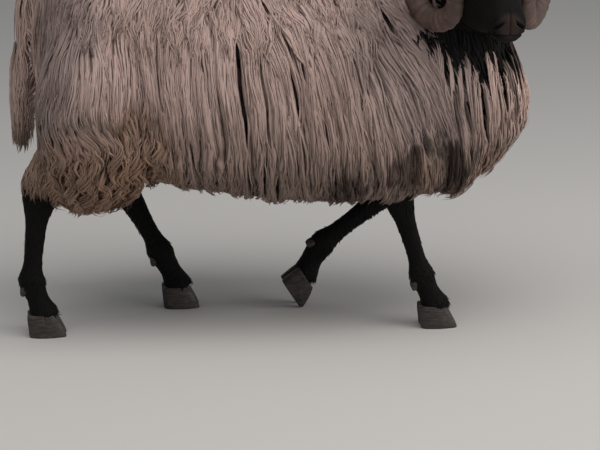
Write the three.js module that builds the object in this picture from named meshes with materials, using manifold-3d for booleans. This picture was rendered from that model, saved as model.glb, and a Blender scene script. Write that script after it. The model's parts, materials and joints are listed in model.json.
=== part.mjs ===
// A life-size walking ram of a long-woolled, black-faced mountain breed, in the outline of its full
// fleece. Millimetres, +Z up. The ram walks towards +X, its left side is +Y, and its head is turned
// to its right. It is caught in mid-stride: three feet stand flat on Z = 0, and the trailing left
// forefoot is about to leave the floor and still rests on the tips of its claws.
//
// Every piece is a loft: a row of closed rings, joined by triangles and capped. Each loft can be
// grown by a small gap, and the grown copy cuts the next piece, so neighbours meet without touching.

import * as THREE from "three";
import { mergeVertices } from "three/addons/utils/BufferGeometryUtils.js";
import Module from "manifold-3d";

const wasm = await Module();
wasm.setup();

// ---------------------------------------------------------------- driving dimensions
const GAP = 0.4; // clearance between neighbouring pieces
const BACK = 752; // height of the wool over the withers
const BELLY = 226; // height of the fleece's hem at mid-body
const RUMP_X = -420; // rearmost wool of the rump
const CHEST_X = 469; // foremost wool of the chest
const BARREL = 238; // half the width of the fleece at the barrel
const HEAD_AT = [350, -215, 631]; // the point midway between the horn curls
const HEAD_TURN = -86; // degrees from straight ahead, to the right
const HEAD_NOD = 9; // degrees, nose down
const HORN_SIDE = 86; // from the head's middle to the centre of a horn's curl
const HORN_FLARE = 31; // degrees that the curl's plane opens outwards to the rear
const SOLE = 0; // level of the floor

// ---------------------------------------------------------------- finishes
const finish = (color, roughness) => new THREE.MeshStandardMaterial({ color, roughness, metalness: 0 });
const WHITE_WOOL = finish(0xb9aaa2, 0.95);
const BLACK_HAIR = finish(0x1c1a1a, 0.8);
const HORN = finish(0x9c8272, 0.6);
const CLAW = finish(0x2a2522, 0.5);
const EYE = finish(0x9a6a24, 0.15);

// ---------------------------------------------------------------- lofts and solids

// Smooth values between stations. The first value of each station is its place along the row.
function between(stations, steps) {
  const keys = stations.map((s) => s[0]);
  const width = stations[0].length - 1;
  const spline = new THREE.CubicInterpolant(keys, stations.flatMap((s) => s.slice(1)), width);
  const rows = [];
  for (let i = 0; i <= steps; i++) {
    const at = THREE.MathUtils.lerp(keys[0], keys.at(-1), i / steps);
    rows.push([at, ...Array.from(spline.evaluate(at))]);
  }
  return rows;
}

// Unit cosine and sine of a superellipse: power 2 is round, and more is squarer.
function around(sides, power = 2) {
  const soften = (v) => Math.sign(v) * Math.abs(v) ** (2 / power);
  return Array.from({ length: sides }, (_, k) => {
    const angle = (2 * Math.PI * k) / sides;
    return [soften(Math.cos(angle)), soften(Math.sin(angle))];
  });
}

// Joins rings of equal count into one closed surface with its faces outwards.
function loft(rings) {
  const sides = rings[0].length;
  const middle = (ring) => ring.reduce((sum, p) => sum.add(p), new THREE.Vector3()).divideScalar(sides);
  const points = [...rings.flat(), middle(rings[0]), middle(rings.at(-1))];
  const first = points.length - 2;
  const faces = [];
  for (let k = 0; k < sides; k++) {
    const next = (k + 1) % sides;
    for (let i = 0; i + 1 < rings.length; i++) {
      const [a, b] = [i * sides + k, i * sides + next];
      faces.push(a, b, b + sides, a, b + sides, a + sides);
    }
    const last = (rings.length - 1) * sides;
    faces.push(first, next, k, first + 1, last + k, last + next);
  }
  const shape = new THREE.BufferGeometry().setFromPoints(points);
  shape.setIndex(faces);
  return shape;
}

function solid(shape) {
  const bare = shape.clone();
  bare.deleteAttribute("normal");
  bare.deleteAttribute("uv");
  const merged = mergeVertices(bare, 1e-4);
  const made = new wasm.Manifold(
    new wasm.Mesh({
      numProp: 3,
      vertProperties: new Float32Array(merged.attributes.position.array),
      triVerts: new Uint32Array(merged.index.array),
    }),
  );
  if (made.volume() > 0) return made;
  const turned = merged.index.array;
  for (let i = 0; i < turned.length; i += 3) [turned[i], turned[i + 1]] = [turned[i + 1], turned[i]];
  return solid(merged);
}

function geometryOf(made) {
  const { vertProperties, triVerts } = made.getMesh();
  const shape = new THREE.BufferGeometry();
  shape.setAttribute("position", new THREE.BufferAttribute(vertProperties, 3));
  shape.setIndex(new THREE.BufferAttribute(triVerts, 1));
  return shape;
}

// The largest piece of a solid, after its neighbours have cut it.
function cutBy(made, cutters) {
  const left = cutters.reduce((rest, cutter) => rest.subtract(cutter), made);
  return left.decompose().sort((a, b) => b.volume() - a.volume())[0];
}

const inFrameOf = (group, shape) => solid(shape.clone().applyMatrix4(group.matrix));

function add(group, name, material, shape) {
  const mesh = new THREE.Mesh(shape, material);
  mesh.name = name;
  group.add(mesh);
  return mesh;
}

// A limb: stations of [along, x, y, z, half depth fore and aft, half width], cross-cut to its line.
function limb(stations, steps, sides, grow = 0, power = 2) {
  const rows = between(stations, steps);
  const at = (row) => new THREE.Vector3(row[1], row[2], row[3]);
  const side = new THREE.Vector3(0, 1, 0);
  return loft(
    rows.map((row, i) => {
      const ahead = at(rows[Math.min(i + 1, steps)]).sub(at(rows[Math.max(i - 1, 0)])).normalize();
      const across = side.clone().addScaledVector(ahead, -side.dot(ahead)).normalize();
      const front = new THREE.Vector3().crossVectors(across, ahead);
      const end = i === 0 ? -grow : i === steps ? grow : 0;
      return around(sides, power).map(([c, s]) =>
        at(row)
          .addScaledVector(front, c * (row[4] + grow))
          .addScaledVector(across, s * (row[5] + grow))
          .addScaledVector(ahead, end),
      );
    }),
  );
}

// A body cut square to X: stations of [x, y, top, widest level, bottom, half width].
// The section above the widest level may be rounder than the one below it.
function barrel(stations, steps, sides, grow, upper, lower) {
  const rows = between(stations, steps);
  const [roof, keel] = [around(sides, upper), around(sides, lower)];
  return loft(
    rows.map(([x, y, top, level, bottom, half], i) =>
      roof.map((point, k) => (point[1] > 0 ? point : keel[k])).map(
        ([c, s]) =>
          new THREE.Vector3(
            x + (i === 0 ? -grow : i === steps ? grow : 0),
            y + c * (half + grow),
            level + s * (s > 0 ? top - level + grow : level - bottom + grow),
          ),
      ),
    ),
  );
}

// ---------------------------------------------------------------- trunk, thighs, tail
// The fleece parts along the spine, falls like a roof to its widest level and hangs to a flat hem.
const trunkShape = (grow) =>
  barrel(
    [
      [RUMP_X, 0, 590, 530, 470, 40],
      [RUMP_X + 8, 0, 640, 520, 420, 92],
      [-394, 0, 690, 505, 366, 142],
      [-350, 0, 722, 485, 330, 182],
      [-286, 0, 740, 465, 298, 208],
      [-190, 0, 744, 450, 264, 230],
      [-90, 0, 740, 440, 246, BARREL - 2],
      [10, 0, 738, 435, 232, BARREL],
      [110, 0, 743, 435, BELLY - 2, 234],
      [200, 0, BACK, 440, BELLY - 2, 218],
      [270, 0, 738, 440, BELLY + 4, 198],
      [330, 0, 684, 428, 236, 174],
      [385, 0, 600, 416, 264, 144],
      [428, 0, 520, 402, 300, 106],
      [CHEST_X - 14, 0, 458, 394, 338, 66],
      [CHEST_X, 0, 420, 390, 362, 28],
    ],
    26,
    24,
    grow,
    1.9,
    2.9,
  );

// The wool of a thigh hangs over the hock in a rounded lobe. stride moves its lower end forward.
function thighShape(side, stride, grow) {
  const lobe = [
    [0, -292, 104, 560, 76, 76],
    [1, -294, 128, 490, 110, 92],
    [2, -300, 136, 420, 120, 98],
    [3, -310, 134, 360, 112, 90],
    [4, -324, 126, 312, 98, 74],
    [5, -342, 114, 272, 76, 54],
    [6, -354, 104, 246, 48, 36],
    [7, -358, 102, 234, 22, 18],
  ];
  const lean = (level) => stride * THREE.MathUtils.smoothstep(560 - level, 0, 300);
  return limb(
    lobe.map(([at, x, y, z, depth, width]) => [at, x + lean(z), side * y, z, depth, width]),
    10,
    18,
    grow,
  );
}

const tailShape = (grow) =>
  limb(
    [
      [0, -392, 0, 664, 26, 30],
      [1, -424, 0, 614, 23, 31],
      [2, -440, 0, 530, 20, 31],
      [3, -445, 0, 440, 19, 29],
      [4, -445, 0, 370, 16, 23],
      [5, -443, 0, 330, 6, 9],
    ],
    9,
    12,
    grow,
  );

// ---------------------------------------------------------------- lower legs
// [x, y, z, half depth, half width] from above the knee or hock, where the leg leaves the wool,
// down to the coronet. A foot is [x, y, z, degrees on tiptoe].
const LEGS = {
  fore_right: {
    line: [
      [208, -88, 306, 34, 28],
      [216, -87, 268, 30, 25],
      [224, -86, 230, 27, 25],
      [233, -86, 198, 20, 18],
      [246, -87, 155, 17, 15],
      [257, -87, 118, 18, 16],
      [264, -88, 94, 24, 21],
      [276, -88, 66, 20, 19],
      [289, -89, 40, 27, 26],
    ],
    foot: [294, -89, SOLE, 0],
  },
  fore_left: {
    line: [
      [212, 80, 292, 34, 28],
      [219, 78, 250, 30, 25],
      [222, 76, 215, 28, 25],
      [198, 75, 192, 22, 18],
      [158, 74, 161, 18, 15],
      [122, 73, 134, 19, 16],
      [101, 72, 116, 25, 21],
      [82, 72, 88, 21, 19],
      [67, 71, 59, 25, 26],
    ],
    foot: [42, 71, SOLE + 24, 57],
  },
  hind_right: {
    line: [
      [-398, -96, 290, 40, 28],
      [-412, -93, 250, 34, 25],
      [-419, -92, 212, 22, 19],
      [-425, -91, 160, 18, 16],
      [-429, -91, 122, 19, 17],
      [-430, -90, 98, 25, 22],
      [-421, -90, 68, 20, 19],
      [-410, -90, 40, 27, 26],
    ],
    foot: [-404, -90, SOLE, 0],
  },
  hind_left: {
    line: [
      [-290, 90, 288, 42, 28],
      [-278, 87, 246, 37, 25],
      [-256, 86, 212, 26, 20],
      [-230, 85, 166, 19, 16],
      [-210, 85, 128, 19, 17],
      [-199, 84, 106, 25, 22],
      [-181, 84, 72, 20, 19],
      [-166, 84, 41, 27, 26],
    ],
    foot: [-160, 84, SOLE, 0],
  },
};

const shankShape = (leg, grow) => limb(leg.line.map((row, i) => [i, ...row]), 12, 12, grow);

// One of the two claws of a foot, standing on its sole with its toe towards +X.
function clawShape(side, grow) {
  const [wide, long] = [13.5, 33];
  const profile = [
    [0, 0, 1, 1],
    [9, -1, 0.99, 0.98],
    [26, -6, 0.88, 0.9],
    [40, -12, 0.74, 0.8],
  ];
  return loft(
    profile.map(([z, x, longer, wider], i) =>
      around(12, 2.6).map(([c, s]) => {
        const pointed = c > 0 ? s * (1 - 0.35 * c) : s;
        return new THREE.Vector3(
          x + c * (long * longer + grow),
          side * 0.6 + pointed * (wide * wider + grow),
          z + (i === 0 ? -grow : i === 3 ? grow : 0),
        );
      }),
    ),
  );
}

// ---------------------------------------------------------------- neck and head
function neckShape(grow) {
  // [along, x, y, z, half height, half width]
  const rows = between(
    [
      [0, 232, 12, 560, 150, 140],
      [1, 292, -22, 588, 132, 124],
      [2, 331, -74, 606, 116, 106],
      [3, 347, -128, 615, 104, 94],
      [4, 350, -176, 616, 84, 80],
    ],
    8,
  );
  const at = (row) => new THREE.Vector3(row[1], row[2], row[3]);
  const up = new THREE.Vector3(0, 0, 1);
  return loft(
    rows.map((row, i) => {
      const ahead = at(rows[Math.min(i + 1, 8)]).sub(at(rows[Math.max(i - 1, 0)])).normalize();
      const across = new THREE.Vector3().crossVectors(up, ahead).normalize();
      const high = new THREE.Vector3().crossVectors(ahead, across);
      return around(20).map(([c, s]) =>
        at(row)
          .addScaledVector(across, c * (row[5] + grow))
          .addScaledVector(high, s * (row[4] + grow)),
      );
    }),
  );
}

// The head in its own frame: x towards the nose, y to its left, z up, from between the curls.
const headShape = (grow) =>
  barrel(
    [
      [-66, 0, 40, 10, -28, 26],
      [-58, 0, 60, 14, -48, 48],
      [-36, 0, 74, 16, -66, 62],
      [-6, 0, 82, 14, -77, 66],
      [26, 0, 82, 14, -76, 64],
      [50, 0, 74, 16, -68, 60],
      [74, 0, 62, 6, -61, 50],
      [100, 0, 50, -4, -55, 40],
      [128, 0, 40, -10, -51, 33.5],
      [152, 0, 29, -14, -48, 31.5],
      [170, 0, 18, -16, -45, 29],
      [182, 0, 5, -18, -38, 22],
      [187, 0, -7, -19, -30, 11],
    ],
    22,
    20,
    grow,
    2.2,
    2.3,
  );

// A leaf-shaped ear, cupped forwards, that grows outwards through the curl of the horn.
function earShape(side, grow) {
  const out = new THREE.Vector3(0.4, side * 0.91, 0.1).normalize();
  const root = new THREE.Vector3(-22, side * 48, 8);
  const broad = new THREE.Vector3(0.28, 0, 0.96).cross(out).cross(out).negate().normalize();
  const thick = new THREE.Vector3().crossVectors(out, broad);
  const rows = between(
    [
      [0, 15, 9],
      [22, 20, 8],
      [48, 24, 5],
      [74, 17, 3.4],
      [90, 7, 2.2],
    ],
    9,
  );
  return loft(
    rows.map(([along, half, thin]) =>
      around(14).map(([c, s]) => {
        const cup = 7 * c * c * (half / 24);
        return root
          .clone()
          .addScaledVector(out, along)
          .addScaledVector(broad, c * (half + grow))
          .addScaledVector(thick, s * (thin / 2 + 1 + grow) - cup);
      }),
    ),
  );
}

// A horn winds back, down, forward and up around its curl's centre, drifting outwards as it goes.
// [degrees round the curl, radius, drift outwards, half thickness, half breadth]
const HORN_COIL = [
  [58, 74, -56, 25, 26],
  [85, 80, -40, 27, 25],
  [130, 75, -20, 26, 22],
  [180, 68, -7, 25, 20],
  [235, 60, -2, 23.5, 18],
  [290, 56, 0, 22, 17],
  [345, 55, 4, 19, 15],
  [395, 53, 14, 14.5, 12],
  [430, 54, 25, 8.5, 7.5],
  [446, 56, 30, 3, 3],
];

function hornShape(side, grow) {
  const flare = THREE.MathUtils.degToRad(HORN_FLARE);
  const centre = new THREE.Vector3(0, side * HORN_SIDE, 0);
  const outwards = new THREE.Vector3(Math.sin(flare), side * Math.cos(flare), 0);
  const forwards = new THREE.Vector3(Math.cos(flare), -side * Math.sin(flare), 0);
  const steps = 28;
  const rows = between(HORN_COIL, steps);
  const arm = (turn) => {
    const angle = THREE.MathUtils.degToRad(turn);
    return forwards.clone().multiplyScalar(Math.cos(angle)).setZ(Math.sin(angle));
  };
  return loft(
    rows.map(([turn, radius, drift, thick, broad], i) => {
      const radial = arm(turn);
      const rim = i === 0 ? -grow : i === steps ? grow : 0;
      const along = arm(turn + 90);
      return around(10).map(([c, s]) => {
        const keel = c > 0 ? 1 : 0.88; // the inner side of the coil is flatter
        return centre
          .clone()
          .addScaledVector(radial, radius + c * keel * (thick + grow))
          .addScaledVector(outwards, drift + s * (broad + grow))
          .addScaledVector(along, rim);
      });
    }),
  );
}

// ---------------------------------------------------------------- assembly
const ram = new THREE.Group();
const head = new THREE.Group();
head.position.set(...HEAD_AT);
head.rotation.set(0, THREE.MathUtils.degToRad(HEAD_NOD), THREE.MathUtils.degToRad(HEAD_TURN), "ZYX");
head.updateMatrix();
ram.add(head);

const sides = [-1, 1];
const sideName = (side) => (side > 0 ? "left" : "right");

// Head, horns and ears press into the wool behind them, so they cut it.
const headCutter = solid(headShape(GAP));
const headGear = [inFrameOf(head, headShape(GAP))];
for (const side of sides) {
  headGear.push(inFrameOf(head, hornShape(side, GAP)), inFrameOf(head, earShape(side, GAP)));
}
const trunk = cutBy(solid(trunkShape(0)), headGear);
const trunkCutter = solid(trunkShape(GAP));
add(ram, "trunk", WHITE_WOOL, geometryOf(trunk));
add(ram, "neck", BLACK_HAIR, geometryOf(cutBy(solid(neckShape(0)), [trunkCutter, ...headGear])));
add(ram, "tail", WHITE_WOOL, geometryOf(cutBy(solid(tailShape(0)), [trunkCutter])));

const floor = new THREE.BoxGeometry(2000, 2000, 100).translate(0, 0, SOLE - 50);
const strideOf = { left: 92, right: 0 };
for (const side of sides) {
  const where = sideName(side);
  const thighCutters = [trunkCutter, solid(tailShape(GAP))];
  const thigh = cutBy(solid(thighShape(side, strideOf[where], 0)), thighCutters);
  add(ram, "thigh_" + where, WHITE_WOOL, geometryOf(thigh));
  const thighCutter = solid(thighShape(side, strideOf[where], GAP));

  for (const end of ["fore", "hind"]) {
    const leg = LEGS[end + "_" + where];
    const [x, y, z, tip] = leg.foot;
    const clawCutters = [];
    for (const [half, name] of [[side, "outer"], [-side, "inner"]]) {
      const turn = new THREE.Euler(0, THREE.MathUtils.degToRad(tip), 0);
      const claw = new THREE.Mesh(undefined, CLAW);
      claw.name = ["claw", end, where, name].join("_");
      claw.position.set(x, y + half * 14.6, z);
      claw.rotation.copy(turn);
      claw.updateMatrix();
      const ground = inFrameOf({ matrix: claw.matrix.clone().invert() }, floor);
      claw.geometry = geometryOf(cutBy(solid(clawShape(half, 0)), [ground]));
      ram.add(claw);
      clawCutters.push(inFrameOf(claw, clawShape(half, GAP)));
    }
    const shank = cutBy(solid(shankShape(leg, 0)), [thighCutter, trunkCutter, ...clawCutters]);
    add(ram, ["leg", end, where].join("_"), BLACK_HAIR, geometryOf(shank));
  }
}

// Eyes sit deep between the lids; the head is cut round them.
const EYE_RADIUS = 13.5;
const eyePlace = (side) => [46, side * 51, 25];
const eyeShape = (side, grow) =>
  new THREE.SphereGeometry(EYE_RADIUS + grow, 12, 9).translate(...eyePlace(side));
const eyeCutters = sides.map((side) => solid(eyeShape(side, GAP)));
add(head, "head", BLACK_HAIR, geometryOf(cutBy(solid(headShape(0)), eyeCutters)));
for (const side of sides) {
  const eyeball = new THREE.SphereGeometry(EYE_RADIUS, 12, 9);
  add(head, "eye_" + sideName(side), EYE, eyeball).position.set(...eyePlace(side));
  const horn = cutBy(solid(hornShape(side, 0)), [headCutter, ...eyeCutters]);
  add(head, "horn_" + sideName(side), HORN, geometryOf(horn));
  const ear = cutBy(solid(earShape(side, 0)), [headCutter, solid(hornShape(side, GAP))]);
  add(head, "ear_" + sideName(side), BLACK_HAIR, geometryOf(ear));
}

// The origin is on the floor, under the middle of the whole outline.
ram.updateMatrixWorld(true);
const box = new THREE.Box3().setFromObject(ram, true);
const centre = box.getCenter(new THREE.Vector3());
ram.position.set(-centre.x, -centre.y, 0);

export default ram;
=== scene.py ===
# %% [markdown]
# # A horned hill ram in full fleece
# This lesson dresses a still model of a walking ram. The solids of the frame give the outline out to
# the tips of the wool. Inside them we build one skin, then horns, claws and eyes, then the coat.
# Lengths are in millimetres wherever a place is given in the body or in the head, and in metres
# where a mesh is written, because that is the frame's unit.

# %% Load the frame
import json

import bpy
import numpy as np
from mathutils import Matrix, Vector
from mathutils.bvhtree import BVHTree
from mathutils.kdtree import KDTree

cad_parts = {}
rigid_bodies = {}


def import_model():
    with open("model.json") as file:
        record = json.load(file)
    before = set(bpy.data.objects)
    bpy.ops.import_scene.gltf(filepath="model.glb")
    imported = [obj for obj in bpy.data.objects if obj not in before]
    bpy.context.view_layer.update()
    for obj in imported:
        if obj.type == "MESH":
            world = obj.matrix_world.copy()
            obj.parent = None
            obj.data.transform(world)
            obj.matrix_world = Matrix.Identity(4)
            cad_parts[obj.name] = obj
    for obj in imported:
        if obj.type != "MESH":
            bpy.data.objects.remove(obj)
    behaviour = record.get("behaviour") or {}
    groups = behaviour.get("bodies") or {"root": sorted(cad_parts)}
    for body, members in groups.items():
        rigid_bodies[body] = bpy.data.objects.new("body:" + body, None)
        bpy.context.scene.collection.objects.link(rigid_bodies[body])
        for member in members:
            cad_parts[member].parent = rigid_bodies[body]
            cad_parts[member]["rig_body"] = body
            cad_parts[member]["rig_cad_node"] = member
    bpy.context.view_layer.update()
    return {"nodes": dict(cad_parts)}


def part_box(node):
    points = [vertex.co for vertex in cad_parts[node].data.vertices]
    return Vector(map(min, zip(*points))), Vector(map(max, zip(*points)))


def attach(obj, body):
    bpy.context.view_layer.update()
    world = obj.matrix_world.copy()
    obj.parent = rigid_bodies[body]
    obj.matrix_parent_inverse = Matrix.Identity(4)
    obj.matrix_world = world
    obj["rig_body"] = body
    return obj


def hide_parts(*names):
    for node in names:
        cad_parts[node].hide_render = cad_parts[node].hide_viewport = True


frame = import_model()

# %% [markdown]
# ## The body's own measure
# A ram is easiest to describe from the middle of its own body: x forwards from mid-trunk, y to its
# left, z up, in millimetres. `at` turns such a place into the frame's metres. The trunk's box tells
# where the body stands in the frame: its chest is 469 mm ahead of the body's middle.

# %% Places in the body and in the head
trunk_low, trunk_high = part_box("trunk")
BODY = np.array([trunk_high.x - 0.469, (trunk_low.y + trunk_high.y) / 2, 0])


def at(*place):
    return np.array(place, float) / 1000 + BODY


def middle_of(node):
    """The middle of a solid's box."""
    low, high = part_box(node)
    return np.array((low + high) / 2)


def unit(v):
    """The same directions with a length of 1."""
    v = np.asarray(v, float)
    return v / np.maximum(np.linalg.norm(v, axis=-1, keepdims=True), 1e-12)


# The line between the eyes is the head's own sideways line, and the nose dips by NOSE_DIP.
NOSE_DIP = np.radians(9)
UP = np.array([0, 0, 1.0])
HEAD_Y = unit(middle_of("eye_left") - middle_of("eye_right"))
level = unit(np.cross(HEAD_Y, UP))
HEAD_X = level * np.cos(NOSE_DIP) - UP * np.sin(NOSE_DIP)
HEAD_Z = np.cross(HEAD_X, HEAD_Y)
HEAD_AXES = np.stack([HEAD_X, HEAD_Y, HEAD_Z])
EYE = np.array([46, 51, 25.0])
EYE_RADIUS = 13.5
HEAD = (middle_of("eye_left") + middle_of("eye_right")) / 2 - (EYE * [1, 0, 1]) @ HEAD_AXES / 1000


def from_head(places):
    """The frame's metres from the head's own millimetres: x to the nose, y left, z up."""
    return np.asarray(places, float) @ HEAD_AXES / 1000 + HEAD


def to_head(points):
    """The head's own millimetres from the frame's metres."""
    return (np.asarray(points, float) - HEAD) @ HEAD_AXES.T * 1000


print("head at", HEAD.round(3), "facing", HEAD_X.round(2))

# %% [markdown]
# ## The camera
# The view is from the ram's right and a little behind, from 1.2 m up and four steps away, through
# a long lens, so that the back and most of the head pass out of view at the top.

# %% Camera
AIM = at(40, -150, 205)
turn, rise, away = np.radians(-5), np.radians(13.5), 4.375
backwards = np.array([np.sin(turn) * np.cos(rise), -np.cos(turn) * np.cos(rise), np.sin(rise)])
camera_data = bpy.data.cameras.new("camera")
camera_data.lens = 150
camera_data.sensor_width = 36
camera_data.clip_end = 100
camera = bpy.data.objects.new("camera", camera_data)
bpy.context.scene.collection.objects.link(camera)
camera.location = AIM + backwards * away
camera.rotation_euler = Vector(-backwards).to_track_quat("-Z", "Y").to_euler()
bpy.context.scene.camera = camera
print("camera at", camera.location)

# %% [markdown]
# ## Small helpers
# `spline` draws a smooth row of values through a few stations, and `smooth` fades from one value to
# another. The rest select pieces and read and write their points.


# %% Splines and points
def spline(stations, places):
    """Values at places, where 0 is the first station and n - 1 the last, on a natural cubic."""
    values = np.asarray(stations, float)
    n = len(values)
    system = np.eye(n)
    wanted = np.zeros_like(values)
    for i in range(1, n - 1):
        system[i, i - 1 : i + 2] = 1, 4, 1
        wanted[i] = 6 * (values[i - 1] - 2 * values[i] + values[i + 1])
    bend = np.linalg.solve(system, wanted)
    places = np.clip(np.asarray(places, float), 0, n - 1)
    i = np.minimum(places.astype(int), n - 2)
    b = (places - i)[..., None]
    a = 1 - b
    curve = (a**3 - a) * bend[i] + (b**3 - b) * bend[i + 1]
    return a * values[i] + b * values[i + 1] + curve / 6


def smooth(value, low, high):
    """0 at low, 1 at high and a soft rise between them; low may be the larger of the two."""
    t = np.clip((np.asarray(value, float) - low) / (high - low), 0, 1)
    return t * t * (3 - 2 * t)


def select_only(*pieces):
    """Operators act on all that is selected, so everything else is deselected first."""
    bpy.ops.object.select_all(action="DESELECT")
    for piece in pieces:
        piece.select_set(True)
    bpy.context.view_layer.objects.active = pieces[0]


def points_of(piece):
    co = np.empty(len(piece.data.vertices) * 3)
    piece.data.vertices.foreach_get("co", co)
    return co.reshape(-1, 3)


def put_points(piece, co):
    piece.data.vertices.foreach_set("co", np.asarray(co, float).ravel())
    piece.data.update()


# %% [markdown]
# `ball` starts most pieces: a sphere whose latitude becomes the way along the piece, and whose
# longitude becomes the way around it. A swept curve would do for a leg or a horn too, but a ball is
# closed at both ends from the start, and each of its points can be moved by a formula.


# %% Balls and limbs
def ball(name, around, along):
    """A sphere with its latitude s from 0 to 1, its longitude, and its size: 0 at the poles."""
    bpy.ops.object.select_all(action="DESELECT")
    bpy.ops.mesh.primitive_uv_sphere_add(segments=around, ring_count=along, radius=1)
    piece = bpy.context.object
    piece.name = piece.data.name = name
    co = points_of(piece)
    u = np.arccos(np.clip(co[:, 2], -1, 1)) / np.pi
    s = np.clip((u * along - 1) / (along - 2), 0, 1)
    size = np.clip(np.minimum(u, 1 - u) * along, 0, 1)
    return piece, s, np.arctan2(co[:, 1], co[:, 0]), size


def soft(value, power):
    """Turns a cosine or sine of a circle into that of a fuller, squarer round."""
    return np.sign(value) * np.abs(value) ** (2 / power)


def outwards(piece):
    """Turns all faces outwards and shades them smooth."""
    select_only(piece)
    bpy.ops.object.mode_set(mode="EDIT")
    bpy.ops.mesh.select_all(action="SELECT")
    bpy.ops.mesh.normals_make_consistent(inside=False)
    bpy.ops.object.mode_set(mode="OBJECT")
    bpy.ops.object.shade_smooth()
    return piece


def limb(name, stations, around=36, along=70, power=2.0):
    """A limb through stations of [x, y, z, half depth, half width], in the body's millimetres."""
    piece, s, turn, size = ball(name, around, along)
    place = s * (len(stations) - 1)
    row = spline(stations, place)
    ahead = unit(spline(stations, place + 0.03)[:, :3] - spline(stations, place - 0.03)[:, :3])
    across = np.array([0, 1.0, 0]) - ahead * ahead[:, 1:2]
    across = unit(across)
    front = np.cross(across, ahead)
    c = soft(np.cos(turn), power) * size
    d = soft(np.sin(turn), power) * size
    co = row[:, :3] + front * (c * row[:, 3])[:, None] + across * (d * row[:, 4])[:, None]
    put_points(piece, co / 1000 + BODY)
    return outwards(piece)


# %% [markdown]
# Overlapping bodies become one by a voxel remesh and a little smoothing. Copies of the frame's solids
# are freed from the frame, so that the solids themselves stay as they are.


# %% Melting and joining
def apply_all(piece):
    """Applies all modifiers of a piece, in their order."""
    select_only(piece)
    for modifier in list(piece.modifiers):
        bpy.ops.object.modifier_apply(modifier=modifier.name)


def remesh(piece, size, rounds):
    """Melts overlapping bodies into one closed surface."""
    melt = piece.modifiers.new("melt", "REMESH")
    melt.mode = "VOXEL"
    melt.voxel_size = size
    melt.use_smooth_shade = True
    ease = piece.modifiers.new("ease", "SMOOTH")
    ease.iterations = rounds
    apply_all(piece)
    print(piece.name, "has", len(piece.data.polygons), "faces")


def joined(name, *pieces):
    select_only(*pieces)
    bpy.ops.object.join()
    piece = bpy.context.object
    piece.name = piece.data.name = name
    return piece


def copy_of(name, *nodes):
    """A free copy of some of the frame's solids, joined."""
    copies = []
    for node in nodes:
        piece = frame["nodes"][node].copy()
        piece.data = piece.data.copy()
        piece.data.materials.clear()
        piece.parent = None
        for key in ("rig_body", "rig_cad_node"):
            if key in piece:
                del piece[key]
        bpy.context.scene.collection.objects.link(piece)
        copies.append(piece)
    return joined(name, *copies)


# %% [markdown]
# ## The fleece's surface
# The wool's outer surface is the frame's own outline: trunk, thighs and neck melted into one. The
# tips of the locks will lie on it, and the skin lies inside it by the depth of the coat. Low on the
# chest the wool is shorter, so there the surface is tucked back by up to `TUCK` millimetres.

# %% Outer surface of the fleece
TUCK = 24
envelope = copy_of("envelope", "trunk", "thigh_left", "thigh_right", "neck")
remesh(envelope, 0.008, 6)
outer_points = points_of(envelope)
ahead, _, height = ((outer_points - BODY) * 1000).T
outer_points[:, 0] -= TUCK / 1000 * smooth(height, 405, 315) * smooth(ahead, 290, 390)
put_points(envelope, outer_points)
outer = BVHTree.FromObject(envelope, bpy.context.evaluated_depsgraph_get())

# %% [markdown]
# ## The legs' lines
# Each leg is a row of stations from the elbow or the stifle down to the hoof: x, y, z, half depth and
# half width. Knee, hock and fetlock are the stations that are wider than their neighbours. The left
# forefoot stands on the tip of its toe, about to swing, and the other three are flat on the floor.

# %% Leg lines
LEG_LINES = {
    "fore_right": [
        [196, -92, 400, 46, 36],
        [204, -90, 330, 38, 31],
        [216, -87, 268, 29, 24],
        [224, -86, 230, 26, 24],
        [233, -86, 198, 19, 17],
        [246, -87, 155, 16, 14],
        [257, -87, 118, 17, 15],
        [264, -88, 94, 23, 20],
        [276, -88, 66, 19, 18],
        [287, -89, 42, 26, 25],
        [289, -89, 34, 24, 23],
    ],
    "fore_left": [
        [196, 90, 400, 46, 36],
        [208, 84, 320, 36, 31],
        [218, 78, 252, 29, 24],
        [222, 76, 215, 27, 24],
        [198, 75, 192, 21, 17],
        [158, 74, 161, 17, 14],
        [122, 73, 134, 18, 15],
        [101, 72, 116, 24, 20],
        [82, 72, 88, 20, 18],
        [69, 71, 61, 24, 25],
        [66, 71, 54, 22, 23],
    ],
    "hind_right": [
        [-306, -100, 430, 46, 40],
        [-356, -98, 350, 42, 34],
        [-396, -96, 290, 36, 27],
        [-412, -93, 250, 32, 24],
        [-419, -92, 212, 21, 18],
        [-425, -91, 160, 17, 15],
        [-429, -91, 122, 18, 16],
        [-430, -90, 98, 24, 21],
        [-421, -90, 68, 19, 18],
        [-412, -90, 42, 26, 25],
        [-410, -90, 34, 24, 23],
    ],
    "hind_left": [
        [-288, 100, 430, 46, 40],
        [-292, 94, 350, 42, 34],
        [-290, 90, 288, 40, 27],
        [-278, 87, 246, 35, 24],
        [-256, 86, 212, 25, 19],
        [-230, 85, 166, 18, 15],
        [-210, 85, 128, 18, 16],
        [-199, 84, 106, 24, 21],
        [-181, 84, 72, 19, 18],
        [-168, 84, 44, 26, 25],
        [-165, 84, 36, 24, 23],
    ],
}
print(len(LEG_LINES), "legs of", len(LEG_LINES["fore_left"]), "stations")

# %% [markdown]
# ## Where the ram is dark
# Its head, throat and lower legs are black and short-haired. `dark_zone` gives the distance in
# millimetres from the edge of the nearest dark part: below zero is dark. The materials repeat it, so
# that the coat's length and its colour change at the same place.


# %% Dark zones
def near_line(points, a, b):
    """The distance of each point from the line between two places."""
    span = b - a
    share = np.clip((points - a) @ span / (span @ span), 0, 1)
    return np.linalg.norm(points - a - share[..., None] * span, axis=-1)


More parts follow.
